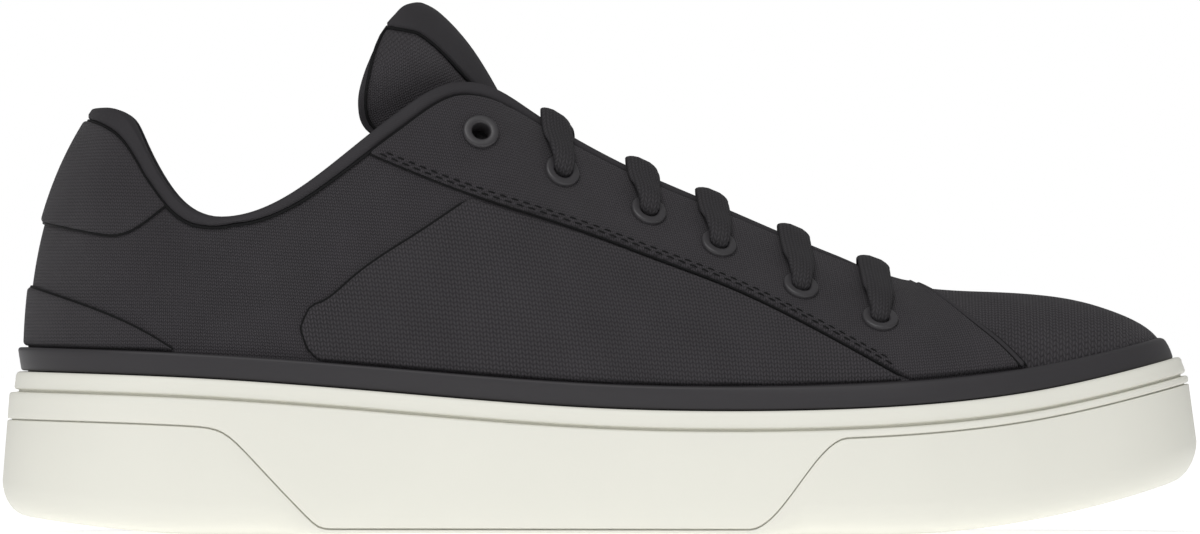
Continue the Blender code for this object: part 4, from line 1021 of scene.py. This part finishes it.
def ways_out(grid):
    """Outward from the front, evened out because the rows run along the edge at the two upper corners."""
    out = np.cross(np.gradient(grid, axis=1), np.gradient(grid, axis=0))
    middle = out[:, grid.shape[1] // 2]
    out *= np.sign(middle[:, 2] + middle[:, 0] * 0.5)[:, None, None]
    for _ in range(TONGUE_EASE):
        wide = np.pad(out, ((1, 1), (1, 1), (0, 0)), mode="edge")
        out = (wide[:-2, 1:-1] + wide[2:, 1:-1] + wide[1:-1, :-2] + wide[1:-1, 2:]) / 4
    return unit(out)


def tongue_tape(front, back, out, trim, thread):
    """Binding folded round the edge of the free end, with its seam on the front."""
    rows, columns = front.shape[:2]
    way_up = [(i, 0) for i in range(rows // 2, rows)]
    over = [(rows - 1, j) for j in range(1, columns - 1)]
    edge = np.array(way_up + over + [(i, columns - 1) for i, _ in way_up[::-1]])
    i, j = edge.T
    deep_i = np.minimum(i, rows - 1 - TAPE_ROWS)
    deep_j = np.clip(j, TAPE_COLUMNS, columns - 1 - TAPE_COLUMNS)
    rim, rim_out = (front[i, j] + back[i, j]) / 2, out[i, j] * TAPE
    deep_out = out[deep_i, deep_j]
    deep_front, deep_back = front[deep_i, deep_j], back[deep_i, deep_j]
    outward = unit(rim - (deep_front + deep_back) / 2)
    sections = [
        deep_front, deep_front + deep_out * TAPE, front[i, j] + rim_out, rim + outward * TAPE,
        back[i, j] - rim_out, deep_back - deep_out * TAPE, deep_back,
    ]
    piece("tongue_edge", [Patch(closed(np.stack(sections, 1), 1))], [trim])
    up_side = [(k, TAPE_COLUMNS) for k in range(rows // 2, rows - TAPE_ROWS)]
    under_label = [(rows - 1 - TAPE_ROWS, TAPE_COLUMNS + k) for k in range(1, 4)]
    i, j = np.array(up_side + under_label).T
    seams = []
    for way in (1, -1):
        ways = out[:, ::way][i, j]
        seams.append(tube(front[:, ::way][i, j] + ways * SEAM_LIFT, ways, SEAM_RADIUS))
    piece("tongue_edge_seam", seams, [thread])


def tongue(knit, trim, thread):
    """A padded knit sheet, and the binding round its free end."""
    rows, columns = TONGUE_GRID
    front = finer(tongue_front(), rows, columns)
    out = ways_out(front)
    last = len(TONGUE_THICKNESS) - 1
    thick = cubic(np.arange(last + 1), TONGUE_THICKNESS)(np.linspace(0, last, rows))
    full = np.sqrt(1 - np.abs(np.linspace(-1, 1, columns))**TONGUE_EDGE_POWER)
    depth = thick[:, None] * (TONGUE_EDGE + (1 - TONGUE_EDGE) * full)
    back = front - out * depth[..., None]
    cloth = cloth_of(front)[..., ::-1]
    patches = [Patch(front, cloth), Patch(back, cloth)]
    for end in (0, -1):
        patches.append(strip(front[end], back[end]))
        patches.append(strip(front[:, end], back[:, end]))
    padded = piece("tongue_pad", patches, [knit], ["tongue"])
    tongue_tape(front, back, out, trim, thread)
    return front, out


def tongue_label(front, out, trim, thread):
    """Bare woven label over the front of the free end."""
    rows, columns = LABEL_GRID
    last, step = len(LABEL_HALF) - 1, (len(front) - 1) / (len(TONGUE_THICKNESS) - 1)
    at_row = np.linspace(-LABEL_TUCK, last - LABEL_SHORT, rows)
    halves = cubic(np.arange(last + 1), np.array(LABEL_HALF))(at_row)
    wide = cubic(np.linspace(-1, 1, front.shape[1]), np.swapaxes(front, 0, 1))
    ways = cubic(np.linspace(-1, 1, front.shape[1]), np.swapaxes(out, 0, 1))
    source = len(front) - 1 + (at_row - last) * step
    points, normals = np.empty((rows, columns, 3)), np.empty((rows, columns, 3))
    for i, (half, row) in enumerate(zip(halves, source)):
        at = np.linspace(-half, half, columns)
        low = min(int(row), len(front) - 2)
        share = row - low
        across_row, across_way = wide(at), ways(at)
        points[i] = across_row[:, low] * (1 - share) + across_row[:, low + 1] * share
        normals[i] = unit(across_way[:, low] * (1 - share) + across_way[:, low + 1] * share)
    outer = points + normals * (UNDER + (LABEL_LIFT - UNDER) * rolled(points))[..., None]
    patches = [Patch(outer), Patch(points + normals * UNDER)]
    piece("tongue_label_cloth", patches, [trim], ["tongue_label"])
    border = np.concatenate([points[::-1, 0], points[0, 1:], points[1:, -1]])
    border_out = np.concatenate([normals[::-1, 0], normals[0, 1:], normals[1:, -1]])
    seam = tube(border + border_out * SEAM_LIFT, border_out, SEAM_RADIUS)
    piece("tongue_label_seam", [seam], [thread])


# Seams

def seam_line(ribs, heights):
    return tube(skin(ribs, heights, SEAM_LIFT), normal(ribs, heights), SEAM_RADIUS, SEAM_FLAT)


def toe_line(ahead, lift, radius=SEAM_RADIUS):
    """Cord round the front of the eyestays, over the ridge of the vamp, a distance ahead of their edge."""
    vamp = S_THROAT + (1 - S_THROAT) * np.linspace(1, 0, TOE_LINE_RIBS)**2
    ribs, heights = [], []
    for side, order in (("lateral", 1), ("medial", -1)):
        s = on_side(vamp, side)
        t = t_at(s, toe_edge(ahead))
        shown = (t < NEAR_RIDGE) & (t > t_at(s, lambda px: over_foxing(px) - TOE_LINE_TUCK))
        ribs.append(s[shown][::order])
        heights.append(t[shown][::order])
    ribs, heights = np.concatenate(ribs), np.concatenate(heights)
    path, out = skin(ribs, heights, lift), normal(ribs, heights)
    run = lengths(path)
    at = np.linspace(0, run[-1], int(run[-1] / TOE_LINE_STEP))
    path, out = picked(path, run, at), unit(picked(out, run, at))
    for _ in range(TOE_LINE_EASE):
        path[1:-1] = (path[:-2] + 2 * path[1:-1] + path[2:]) / 4
    return tube(path, out, radius, SEAM_FLAT)


def toe_piping(material):
    """Binding that goes on from the throat down the front edge of the eyestays."""
    band = toe_line(TOE_PIPING, TOE_PIPING_LIFT, TOE_PIPING_RADIUS)
    return piece("eyestay_piping", [band], [material])


def seams(spans, material):
    """Dark edge seams along every panel of the upper."""
    patches = [toe_line(ahead, lift) for ahead, lift in TOE_SEAMS]
    for side in SIDES:
        ribs = spans[side]
        lower = ribs[t_at(ribs, eyestay_lower) > t_at(ribs, over_foxing)]
        patches.append(seam_line(lower, t_at(lower, eyestay_lower)))
        panel = spans[f"panel_{side}"]
        nose = panel[0] if side == "lateral" else panel[-1]
        foot = panel[panel_foot(panel) > t_at(panel, over_foxing) + 1e-6]
        head = panel[panel_head(panel) < t_at(panel, eyestay_lower) - 1.1 * PANEL_CLEAR]
        foot, head = (foot[::-1], head) if side == "lateral" else (foot, head[::-1])
        round_nose = np.concatenate([foot, [nose], head])
        nose_height = (panel_foot(nose) + panel_head(nose)) / 2
        heights = np.concatenate([panel_foot(foot), [nose_height], panel_head(head)])
        patches.append(seam_line(round_nose, heights))
    patches.append(seam_line(spans["patch"], patch_foot(spans["patch"])))
    patches.append(seam_line(spans["counter"], counter_head(spans["counter"])))
    collar = np.concatenate([OPEN_RIBS, 2 - OPEN_RIBS[-2::-1]])
    patches.append(seam_line(collar, under_band(collar) + 0.002))
    return piece("panel_seams", patches, [material])


def stitches(spans, material):
    """Two rows along the lower edge of each eyestay."""
    patches = []
    for side in SIDES:
        ribs = spans[side]
        ribs = ribs[t_at(ribs, eyestay_lower) > t_at(ribs, over_foxing) + 0.02]
        foot = t_at(ribs, eyestay_lower)
        scale = np.linalg.norm(surface(ribs, foot + 0.01) - surface(ribs, foot), axis=-1) / 0.01
        for row in EYESTAY_STITCH_ROWS:
            heights = foot + row / scale
            keep = heights < eyestay_head(ribs) - 0.01
            path = skin(ribs[keep], heights[keep], EYESTAY_LIFT)
            patches += dashes(path, normal(ribs[keep], heights[keep]))
    return piece("eyestay_stitches", patches, [material])


# Eyelets and laces

def find_rib(side, x, z):
    """The rib and the height on it that show at (x, z) from the side."""
    def height(s):
        return t_at(on_side(s, side), lambda px: z + 0 * px)

    s = bisected(*EYELET_SEARCH, lambda s: surface(on_side(s, side), height(s))[0] >= x)
    return float(on_side(s, side)), float(height(s))


PLACE_OF = {(side, k): find_rib(side, x, z) for side in SIDES for k, (x, z) in enumerate(EYELETS, 1)}


def eyelet_frame(s, t):
    """Origin on the upper and the ways ahead, up and out."""
    out = normal(s, t)
    ahead = unit(surface(s + 1e-3, t) - surface(s - 1e-3, t))
    return surface(s, t), ahead, unit(np.cross(out, ahead)), out


def turned(profile, s, t, sides):
    """A profile of (radius, height) turned about the way out of the upper."""
    origin, ahead, up, out = eyelet_frame(s, t)
    angles = np.linspace(0, 2 * math.pi, sides + 1)
    radial = ahead * np.cos(angles)[:, None] + up * np.sin(angles)[:, None]
    return Patch(np.stack([origin + radial * r + out * z for r, z in profile], 1))


def eyelets(material):
    """Rolled rings through eyestay and upper."""
    low, rim = EYESTAY_LIFT - EYELET_SINK, (EYELET_TOP - EYESTAY_LIFT) * EYELET_ROLL
    profile = [(EYELET_BARREL, EYELET_FOOT), (EYELET_BARREL, low), (EYELET_OUTER, low)]
    for level, upright in corner(0, 30, 60, 90):
        profile.append((EYELET_OUTER - rim * upright, EYELET_TOP - rim * level))
    for level, upright in corner(90, 60, 30, 0):
        profile.append((EYELET_INNER + rim * upright, EYELET_TOP - rim * level))
    profile += [(EYELET_INNER, EYELET_FOOT), (EYELET_BARREL, EYELET_FOOT)]
    for (side, k), (s, t) in PLACE_OF.items():
        ring = turned(profile, s, t, EYELET_SIDES)
        piece(f"eyelet_ring_{side}_{k}", [ring], [material], [f"eyelet_{side}_{k}"])


def hole_cutter():
    """Pins where the eyelet holes are bored."""
    bm = bmesh.new()
    for s, t in PLACE_OF.values():
        origin, ahead, up, out = eyelet_frame(s, t)
        turn = Matrix(np.stack([ahead, up, out], 1).tolist()).to_4x4()
        place = Matrix.Translation(Vector(origin * MM)) @ turn
        bmesh.ops.create_cone(
            bm, cap_ends=True, segments=HOLE_SIDES, radius1=EYELET_HOLE * MM, radius2=EYELET_HOLE * MM,
            depth=HOLE_LENGTH * MM, matrix=place,
        )
    return mesh_of(bm, "hole_cutter")


def flat_cord(path, wide, half, thickness, cup=0.0):
    """A flat braid along a path, its section a rounded oblong whose edges curl down by cup."""
    way = unit(np.gradient(path, axis=0))
    wide = unit(wide - way * np.sum(way * wide, -1, keepdims=True))
    thick = np.cross(way, wide)
    angles = np.linspace(0, 2 * math.pi, LACE_SIDES + 1)
    a = np.sign(np.cos(angles)) * np.abs(np.cos(angles))**LACE_SQUARE[0]
    b = np.sign(np.sin(angles)) * np.abs(np.sin(angles))**LACE_SQUARE[1]
    half, thickness, cup = (np.broadcast_to(size, len(path))[:, None] for size in (half, thickness, cup))
    size_a, size_b = half * a, thickness / 2 * b + cup * a**2
    grid = path[:, None] + wide[:, None] * size_a[..., None] + thick[:, None] * size_b[..., None]
    cloth = np.stack([size_a, np.broadcast_to(lengths(path)[:, None], size_a.shape)], -1)
    middles = [np.broadcast_to(ring.mean(0), ring.shape) for ring in grid[[0, -1]]]
    return [Patch(grid, cloth), strip(middles[0], grid[0]), strip(middles[1], grid[-1])]


def lace_half(side, number):
    """Route of a bar from inside an eyelet up to the throat's edge, level with it seen from the side."""
    s, t = PLACE_OF[side, number]
    forward = 1 if side == "lateral" else -1
    level = surface(s, t)[0] - LACE_SET_BACK
    top_s = on_side(bisected(*EYELET_SEARCH, lambda a: surface(on_side(a, side), 1.0)[0] > level), side)
    route = []
    for share, lift in LACE_STOPS:
        rib, height = s + (top_s - s) * share, t + (1 - t) * share
        route.append(surface(rib, height) + normal(rib, height) * lift)
    return route, unit(surface(top_s + 0.02 * forward, 1.0) - surface(top_s - 0.02 * forward, 1.0))


def lace_bar(number, material):
    """A flat bar that comes out of one eyelet, crosses the throat and goes into the other."""
    (near, throat), (far, _) = lace_half("lateral", number), lace_half("medial", number)
    middle = (near[-1] + far[-1]) / 2 + np.array([0, 0, LACE_CROWN])
    route = np.array(near + [middle] + far[::-1])
    knots = lengths(route)
    at = np.linspace(0, knots[-1], LACE_POINTS)
    path = cubic(knots, route)(at)
    from_end = np.minimum(at, at[-1] - at)
    share = np.clip((from_end - LACE_NARROW[0]) / (LACE_NARROW[1] - LACE_NARROW[0]), 0, 1)
    half = (LACE_WIDTH_IN_EYELET + (LACE_WIDTH - LACE_WIDTH_IN_EYELET) * share) / 2
    thick = LACE_THICKNESS_IN_EYELET + (LACE_THICKNESS - LACE_THICKNESS_IN_EYELET) * share
    wide = np.broadcast_to(throat, path.shape)
    patches = flat_cord(path, wide, half, thick, LACE_CUP * share)
    piece(f"lace_bar_{number - 1}", patches, [material], [f"lace_{number - 1}"])


def lace_inside(material):
    """Runs behind the eyestays; the two ends stop behind the top eyelets."""
    patches = []
    for side, start, end, bow in LACE_INSIDE_RUNS:
        (s0, t0), (s1, t1) = PLACE_OF[side, start], PLACE_OF[side, end]
        share = np.linspace(0, 1, LACE_INSIDE_POINTS)
        s = s0 + (s1 - s0) * share
        t = t0 + (t1 - t0) * share + bow * np.sin(math.pi * share)
        out = normal(s, t)
        path = surface(s, t) + out * LACE_INSIDE_LIFT
        wide = np.cross(unit(np.gradient(path, axis=0)), out)
        patches += flat_cord(path, wide, LACE_INSIDE_HALF, LACE_INSIDE_THICKNESS)
    return piece("lace_inside", patches, [material])


# Materials

class Shader:
    """A Principled material and short ways to add nodes to it."""

    def __init__(self, name, colour, roughness, gloss=0.5):
        self.material = bpy.data.materials.new(name)
        self.material.use_nodes = True
        self.tree = self.material.node_tree
        self.main = self.tree.nodes["Principled BSDF"]
        self.colour = colour
        self.set("Base Color", (*colour, 1.0))
        self.set("Roughness", roughness)
        self.set("Specular IOR Level", gloss)

    def set(self, socket, value):
        self.main.inputs[socket].default_value = value

    def node(self, kind, **settings):
        made = self.tree.nodes.new(kind)
        for name, value in settings.items():
            setattr(made, name, value)
        return made

    def link(self, source, target):
        self.tree.links.new(source, target)

    def math(self, operation, *values):
        made = self.node("ShaderNodeMath", operation=operation)
        for socket, value in zip(made.inputs, values):
            if isinstance(value, (int, float)):
                socket.default_value = value
            else:
                self.link(value, socket)
        return made.outputs[0]

    def cloth(self):
        """Cloth coordinates in millimetres."""
        split = self.node("ShaderNodeSeparateXYZ")
        self.link(self.node("ShaderNodeUVMap", uv_map="cloth").outputs["UV"], split.inputs[0])
        return split.outputs["X"], split.outputs["Y"]

    def noise(self, scale, detail=2.0):
        """Noise over the object, about 0.5, with so many spots a metre."""
        place = self.node("ShaderNodeTexCoord")
        made = self.node("ShaderNodeTexNoise")
        made.inputs["Scale"].default_value = scale
        made.inputs["Detail"].default_value = detail
        self.link(place.outputs["Object"], made.inputs["Vector"])
        return made.outputs["Fac"]

    def shade(self, share, low, high):
        """Colour between two shares of the material's own colour."""
        ramp = self.node("ShaderNodeMix", data_type="RGBA")
        colours = [i for i in ramp.inputs if i.type == "RGBA"]
        colours[0].default_value = (*(c * low for c in self.colour), 1.0)
        colours[1].default_value = (*(c * high for c in self.colour), 1.0)
        self.link(share, ramp.inputs["Factor"])
        self.link([o for o in ramp.outputs if o.type == "RGBA"][0], self.main.inputs["Base Color"])

    def bump(self, height, depth, strength=1.0):
        made = self.node("ShaderNodeBump")
        made.inputs["Strength"].default_value = strength
        made.inputs["Distance"].default_value = depth * MM
        self.link(height, made.inputs["Height"])
        self.link(made.outputs["Normal"], self.main.inputs["Normal"])


def loops(shader, wale, course, slant=0.55):
    """Height of knitted loops: columns of V shapes, so many millimetres wide and tall."""
    u, v = shader.cloth()
    column = shader.math("FRACT", shader.math("DIVIDE", u, wale))
    to_side = shader.math("ABSOLUTE", shader.math("MULTIPLY_ADD", column, 2.0, -1.0))
    leg = shader.math("SINE", shader.math("MULTIPLY", to_side, math.pi))
    lean = shader.math("MULTIPLY", to_side, slant)
    row = shader.math("FRACT", shader.math("SUBTRACT", shader.math("DIVIDE", v, course), lean))
    bead = shader.math("SINE", shader.math("MULTIPLY", row, math.pi))
    return shader.math("POWER", shader.math("MULTIPLY", leg, bead), 0.7)


def knit(name, colour, wale, course, depth):
    """Matte knit; its loops painted lighter and the gaps between them darker, as painted shade, over random
    tone spots.
    """
    shader = Shader(name, colour, 0.85, gloss=0.2)
    shader.set("Sheen Weight", 0.05)
    shader.set("Sheen Roughness", 0.5)
    height = loops(shader, wale, course)
    spots = shader.math("MULTIPLY_ADD", shader.noise(90.0), 0.35, -0.17)
    # painted shade: the colour follows the loops' height, darker in the gaps between them; the noise spots
    # add random tone
    shader.shade(shader.math("ADD", height, spots), 0.52, 1.36)
    shader.bump(height, depth)
    return shader.material


def twill(name, colour, pitch, depth, roughness):
    """Fine slanting weave."""
    shader = Shader(name, colour, roughness, gloss=0.15)
    u, v = shader.cloth()
    way = shader.math("DIVIDE", shader.math("ADD", u, v), pitch)
    wave = shader.math("SINE", shader.math("MULTIPLY", way, 2 * math.pi))
    shader.bump(shader.math("MULTIPLY_ADD", wave, 0.5, 0.5), depth)
    shader.shade(shader.noise(60.0), 0.85, 1.15)
    return shader.material


def braid(name, colour):
    """Flat lace: narrow columns of slanting strands, painted darker between them as painted shade."""
    shader = Shader(name, colour, 0.75, gloss=0.2)
    height = loops(shader, 1.75, 1.1, slant=0.9)
    # painted shade: the colour follows the strands' height, darker between them
    shader.shade(height, 0.55, 1.15)
    shader.bump(height, 0.16)
    return shader.material


def rubber(name, colour, roughness, gloss):
    """Moulded rubber with a faint grain."""
    shader = Shader(name, colour, roughness, gloss)
    shader.shade(shader.noise(40.0, 3.0), 0.985, 1.015)
    shader.bump(shader.noise(1800.0), 0.03, 0.6)
    return shader.material


def brushed(name, colour):
    """Lining with a soft nap."""
    shader = Shader(name, colour, 0.9)
    shader.set("Sheen Weight", 0.15)
    shader.shade(shader.noise(500.0), 0.8, 1.2)
    shader.bump(shader.noise(1500.0), 0.12, 0.8)
    return shader.material


# Stage

def floor():
    """White ground under the shoe."""
    shader = Shader("floor_white", FLOOR_WHITE, 0.9)
    shader.set("Emission Color", (1, 1, 1, 1))
    shader.set("Emission Strength", 0.5)
    bm = bmesh.new()
    bmesh.ops.create_grid(bm, x_segments=1, y_segments=1, size=8.0)
    mesh = mesh_of(bm, "floor")
    mesh.materials.append(shader.material)
    added("floor", mesh)


def sky(seen, lit):
    """White where the camera sees it, softer as a light."""
    world = bpy.data.worlds.new("white_sky")
    bpy.context.scene.world = world
    world.use_nodes = True
    tree = world.node_tree
    light, backdrop = tree.nodes["Background"], tree.nodes.new("ShaderNodeBackground")
    for node, strength in ((light, lit), (backdrop, seen)):
        node.inputs["Color"].default_value = (1, 1, 1, 1)
        node.inputs["Strength"].default_value = strength
    rays, mix = tree.nodes.new("ShaderNodeLightPath"), tree.nodes.new("ShaderNodeMixShader")
    tree.links.new(rays.outputs["Is Camera Ray"], mix.inputs[0])
    tree.links.new(light.outputs[0], mix.inputs[1])
    tree.links.new(backdrop.outputs[0], mix.inputs[2])
    tree.links.new(mix.outputs[0], tree.nodes["World Output"].inputs["Surface"])


def sun(direction, strength, angle):
    """Soft light that comes from a direction."""
    data = bpy.data.lights.new("soft_sun", "SUN")
    data.energy, data.angle = strength, math.radians(angle)
    added("soft_sun", data).rotation_euler = Vector(direction).to_track_quat("Z", "Y").to_euler()


def camera(centre, width, lens):
    """Square on to the lateral side, from far off."""
    data = bpy.data.cameras.new("side_camera")
    data.lens, data.clip_end = lens, 50.0
    distance = width * lens / data.sensor_width
    eye = added("side_camera", data)
    eye.location = (centre[0], centre[1] - distance, centre[2])
    eye.rotation_euler = (math.pi / 2, 0, 0)
    bpy.context.scene.camera = eye


quarter_knit = knit("quarter_knit", CHARCOAL, 1.15, 0.85, 0.22)
vamp_knit = knit("vamp_knit", CHARCOAL, 1.6, 1.15, 0.28)
overlay_knit = knit("overlay_knit", CHARCOAL, 1.15, 0.85, 0.2)
panel_knit = knit("panel_knit", CHARCOAL, 1.6, 1.15, 0.26)
# painted light: the tongue's knit is a lighter copy of the charcoal, to offset its shade
tongue_knit_painted_light = knit("tongue_knit_painted_light", TONGUE_CHARCOAL_PAINTED_LIGHT, 1.15, 0.85, 0.2)
trim_cloth = twill("trim_cloth", BAND_CHARCOAL, 0.6, 0.03, 0.75)
seam_thread = twill("seam_thread", SEAM_BLACK, 0.5, 0.05, 0.7)
stitch_thread = twill("stitch_thread", SEAM_BLACK, 0.4, 0.05, 0.6)
lace_braid = braid("lace_braid", BAND_CHARCOAL)
lining_cloth = brushed("lining_cloth", LINING)
dark_rubber = rubber("dark_rubber", BAND_CHARCOAL, 0.5, 0.25)
cream_rubber = rubber("cream_rubber", CREAM, 0.55, 0.5)
eyelet_coat = rubber("eyelet_coat", BAND_CHARCOAL, 0.4, 0.4)

sole_loop = Loop()
outsole(sole_loop, cream_rubber)
midsole(sole_loop, cream_rubber)
foxing(sole_loop, dark_rubber)
insole(lining_cloth)
holed = [upper(quarter_knit, vamp_knit, lining_cloth)]
spans = {
    "patch": ribs_with_room(HEEL_RIBS, patch_foot, under_band),
    "counter": ribs_with_room(HEEL_RIBS, counter_foot, counter_head),
}
for which in SIDES:
    spans[which] = ribs_with_room(ribs_between(which, *EYESTAY_SPAN), eyestay_foot, eyestay_head)
    spans[f"panel_{which}"] = ribs_with_room(ribs_between(which, *PANEL_SPAN), panel_foot, panel_head)
    stay = overlay(f"eyestay_{which}", spans[which], eyestay_foot, eyestay_head, EYESTAY_LIFT, overlay_knit)
    holed.append(stay)
    overlay(f"side_panel_{which}", spans[f"panel_{which}"], panel_foot, panel_head, PANEL_LIFT, panel_knit)
overlay("heel_patch", spans["patch"], patch_foot, under_band, PATCH_LIFT, overlay_knit)
overlay("heel_counter", spans["counter"], counter_foot, counter_head, PATCH_LIFT, overlay_knit)
cut_away(holed, hole_cutter())
collar_binding(trim_cloth)
tongue_label(*tongue(tongue_knit_painted_light, trim_cloth, seam_thread), trim_cloth, seam_thread)
toe_piping(trim_cloth)
seams(spans, seam_thread)
stitches(spans, stitch_thread)
eyelets(eyelet_coat)
for bar in range(2, len(EYELETS) + 1):
    lace_bar(bar, lace_braid)
lace_inside(lace_braid)

floor()
sky(seen=1.0, lit=0.34)
sun((-0.14, -0.60, 0.79), 1.5, 40)
camera((0.0, 0.0, 66.45 * MM), 300.0 * MM, 700.0)
bpy.context.scene.view_settings.view_transform = "Standard"
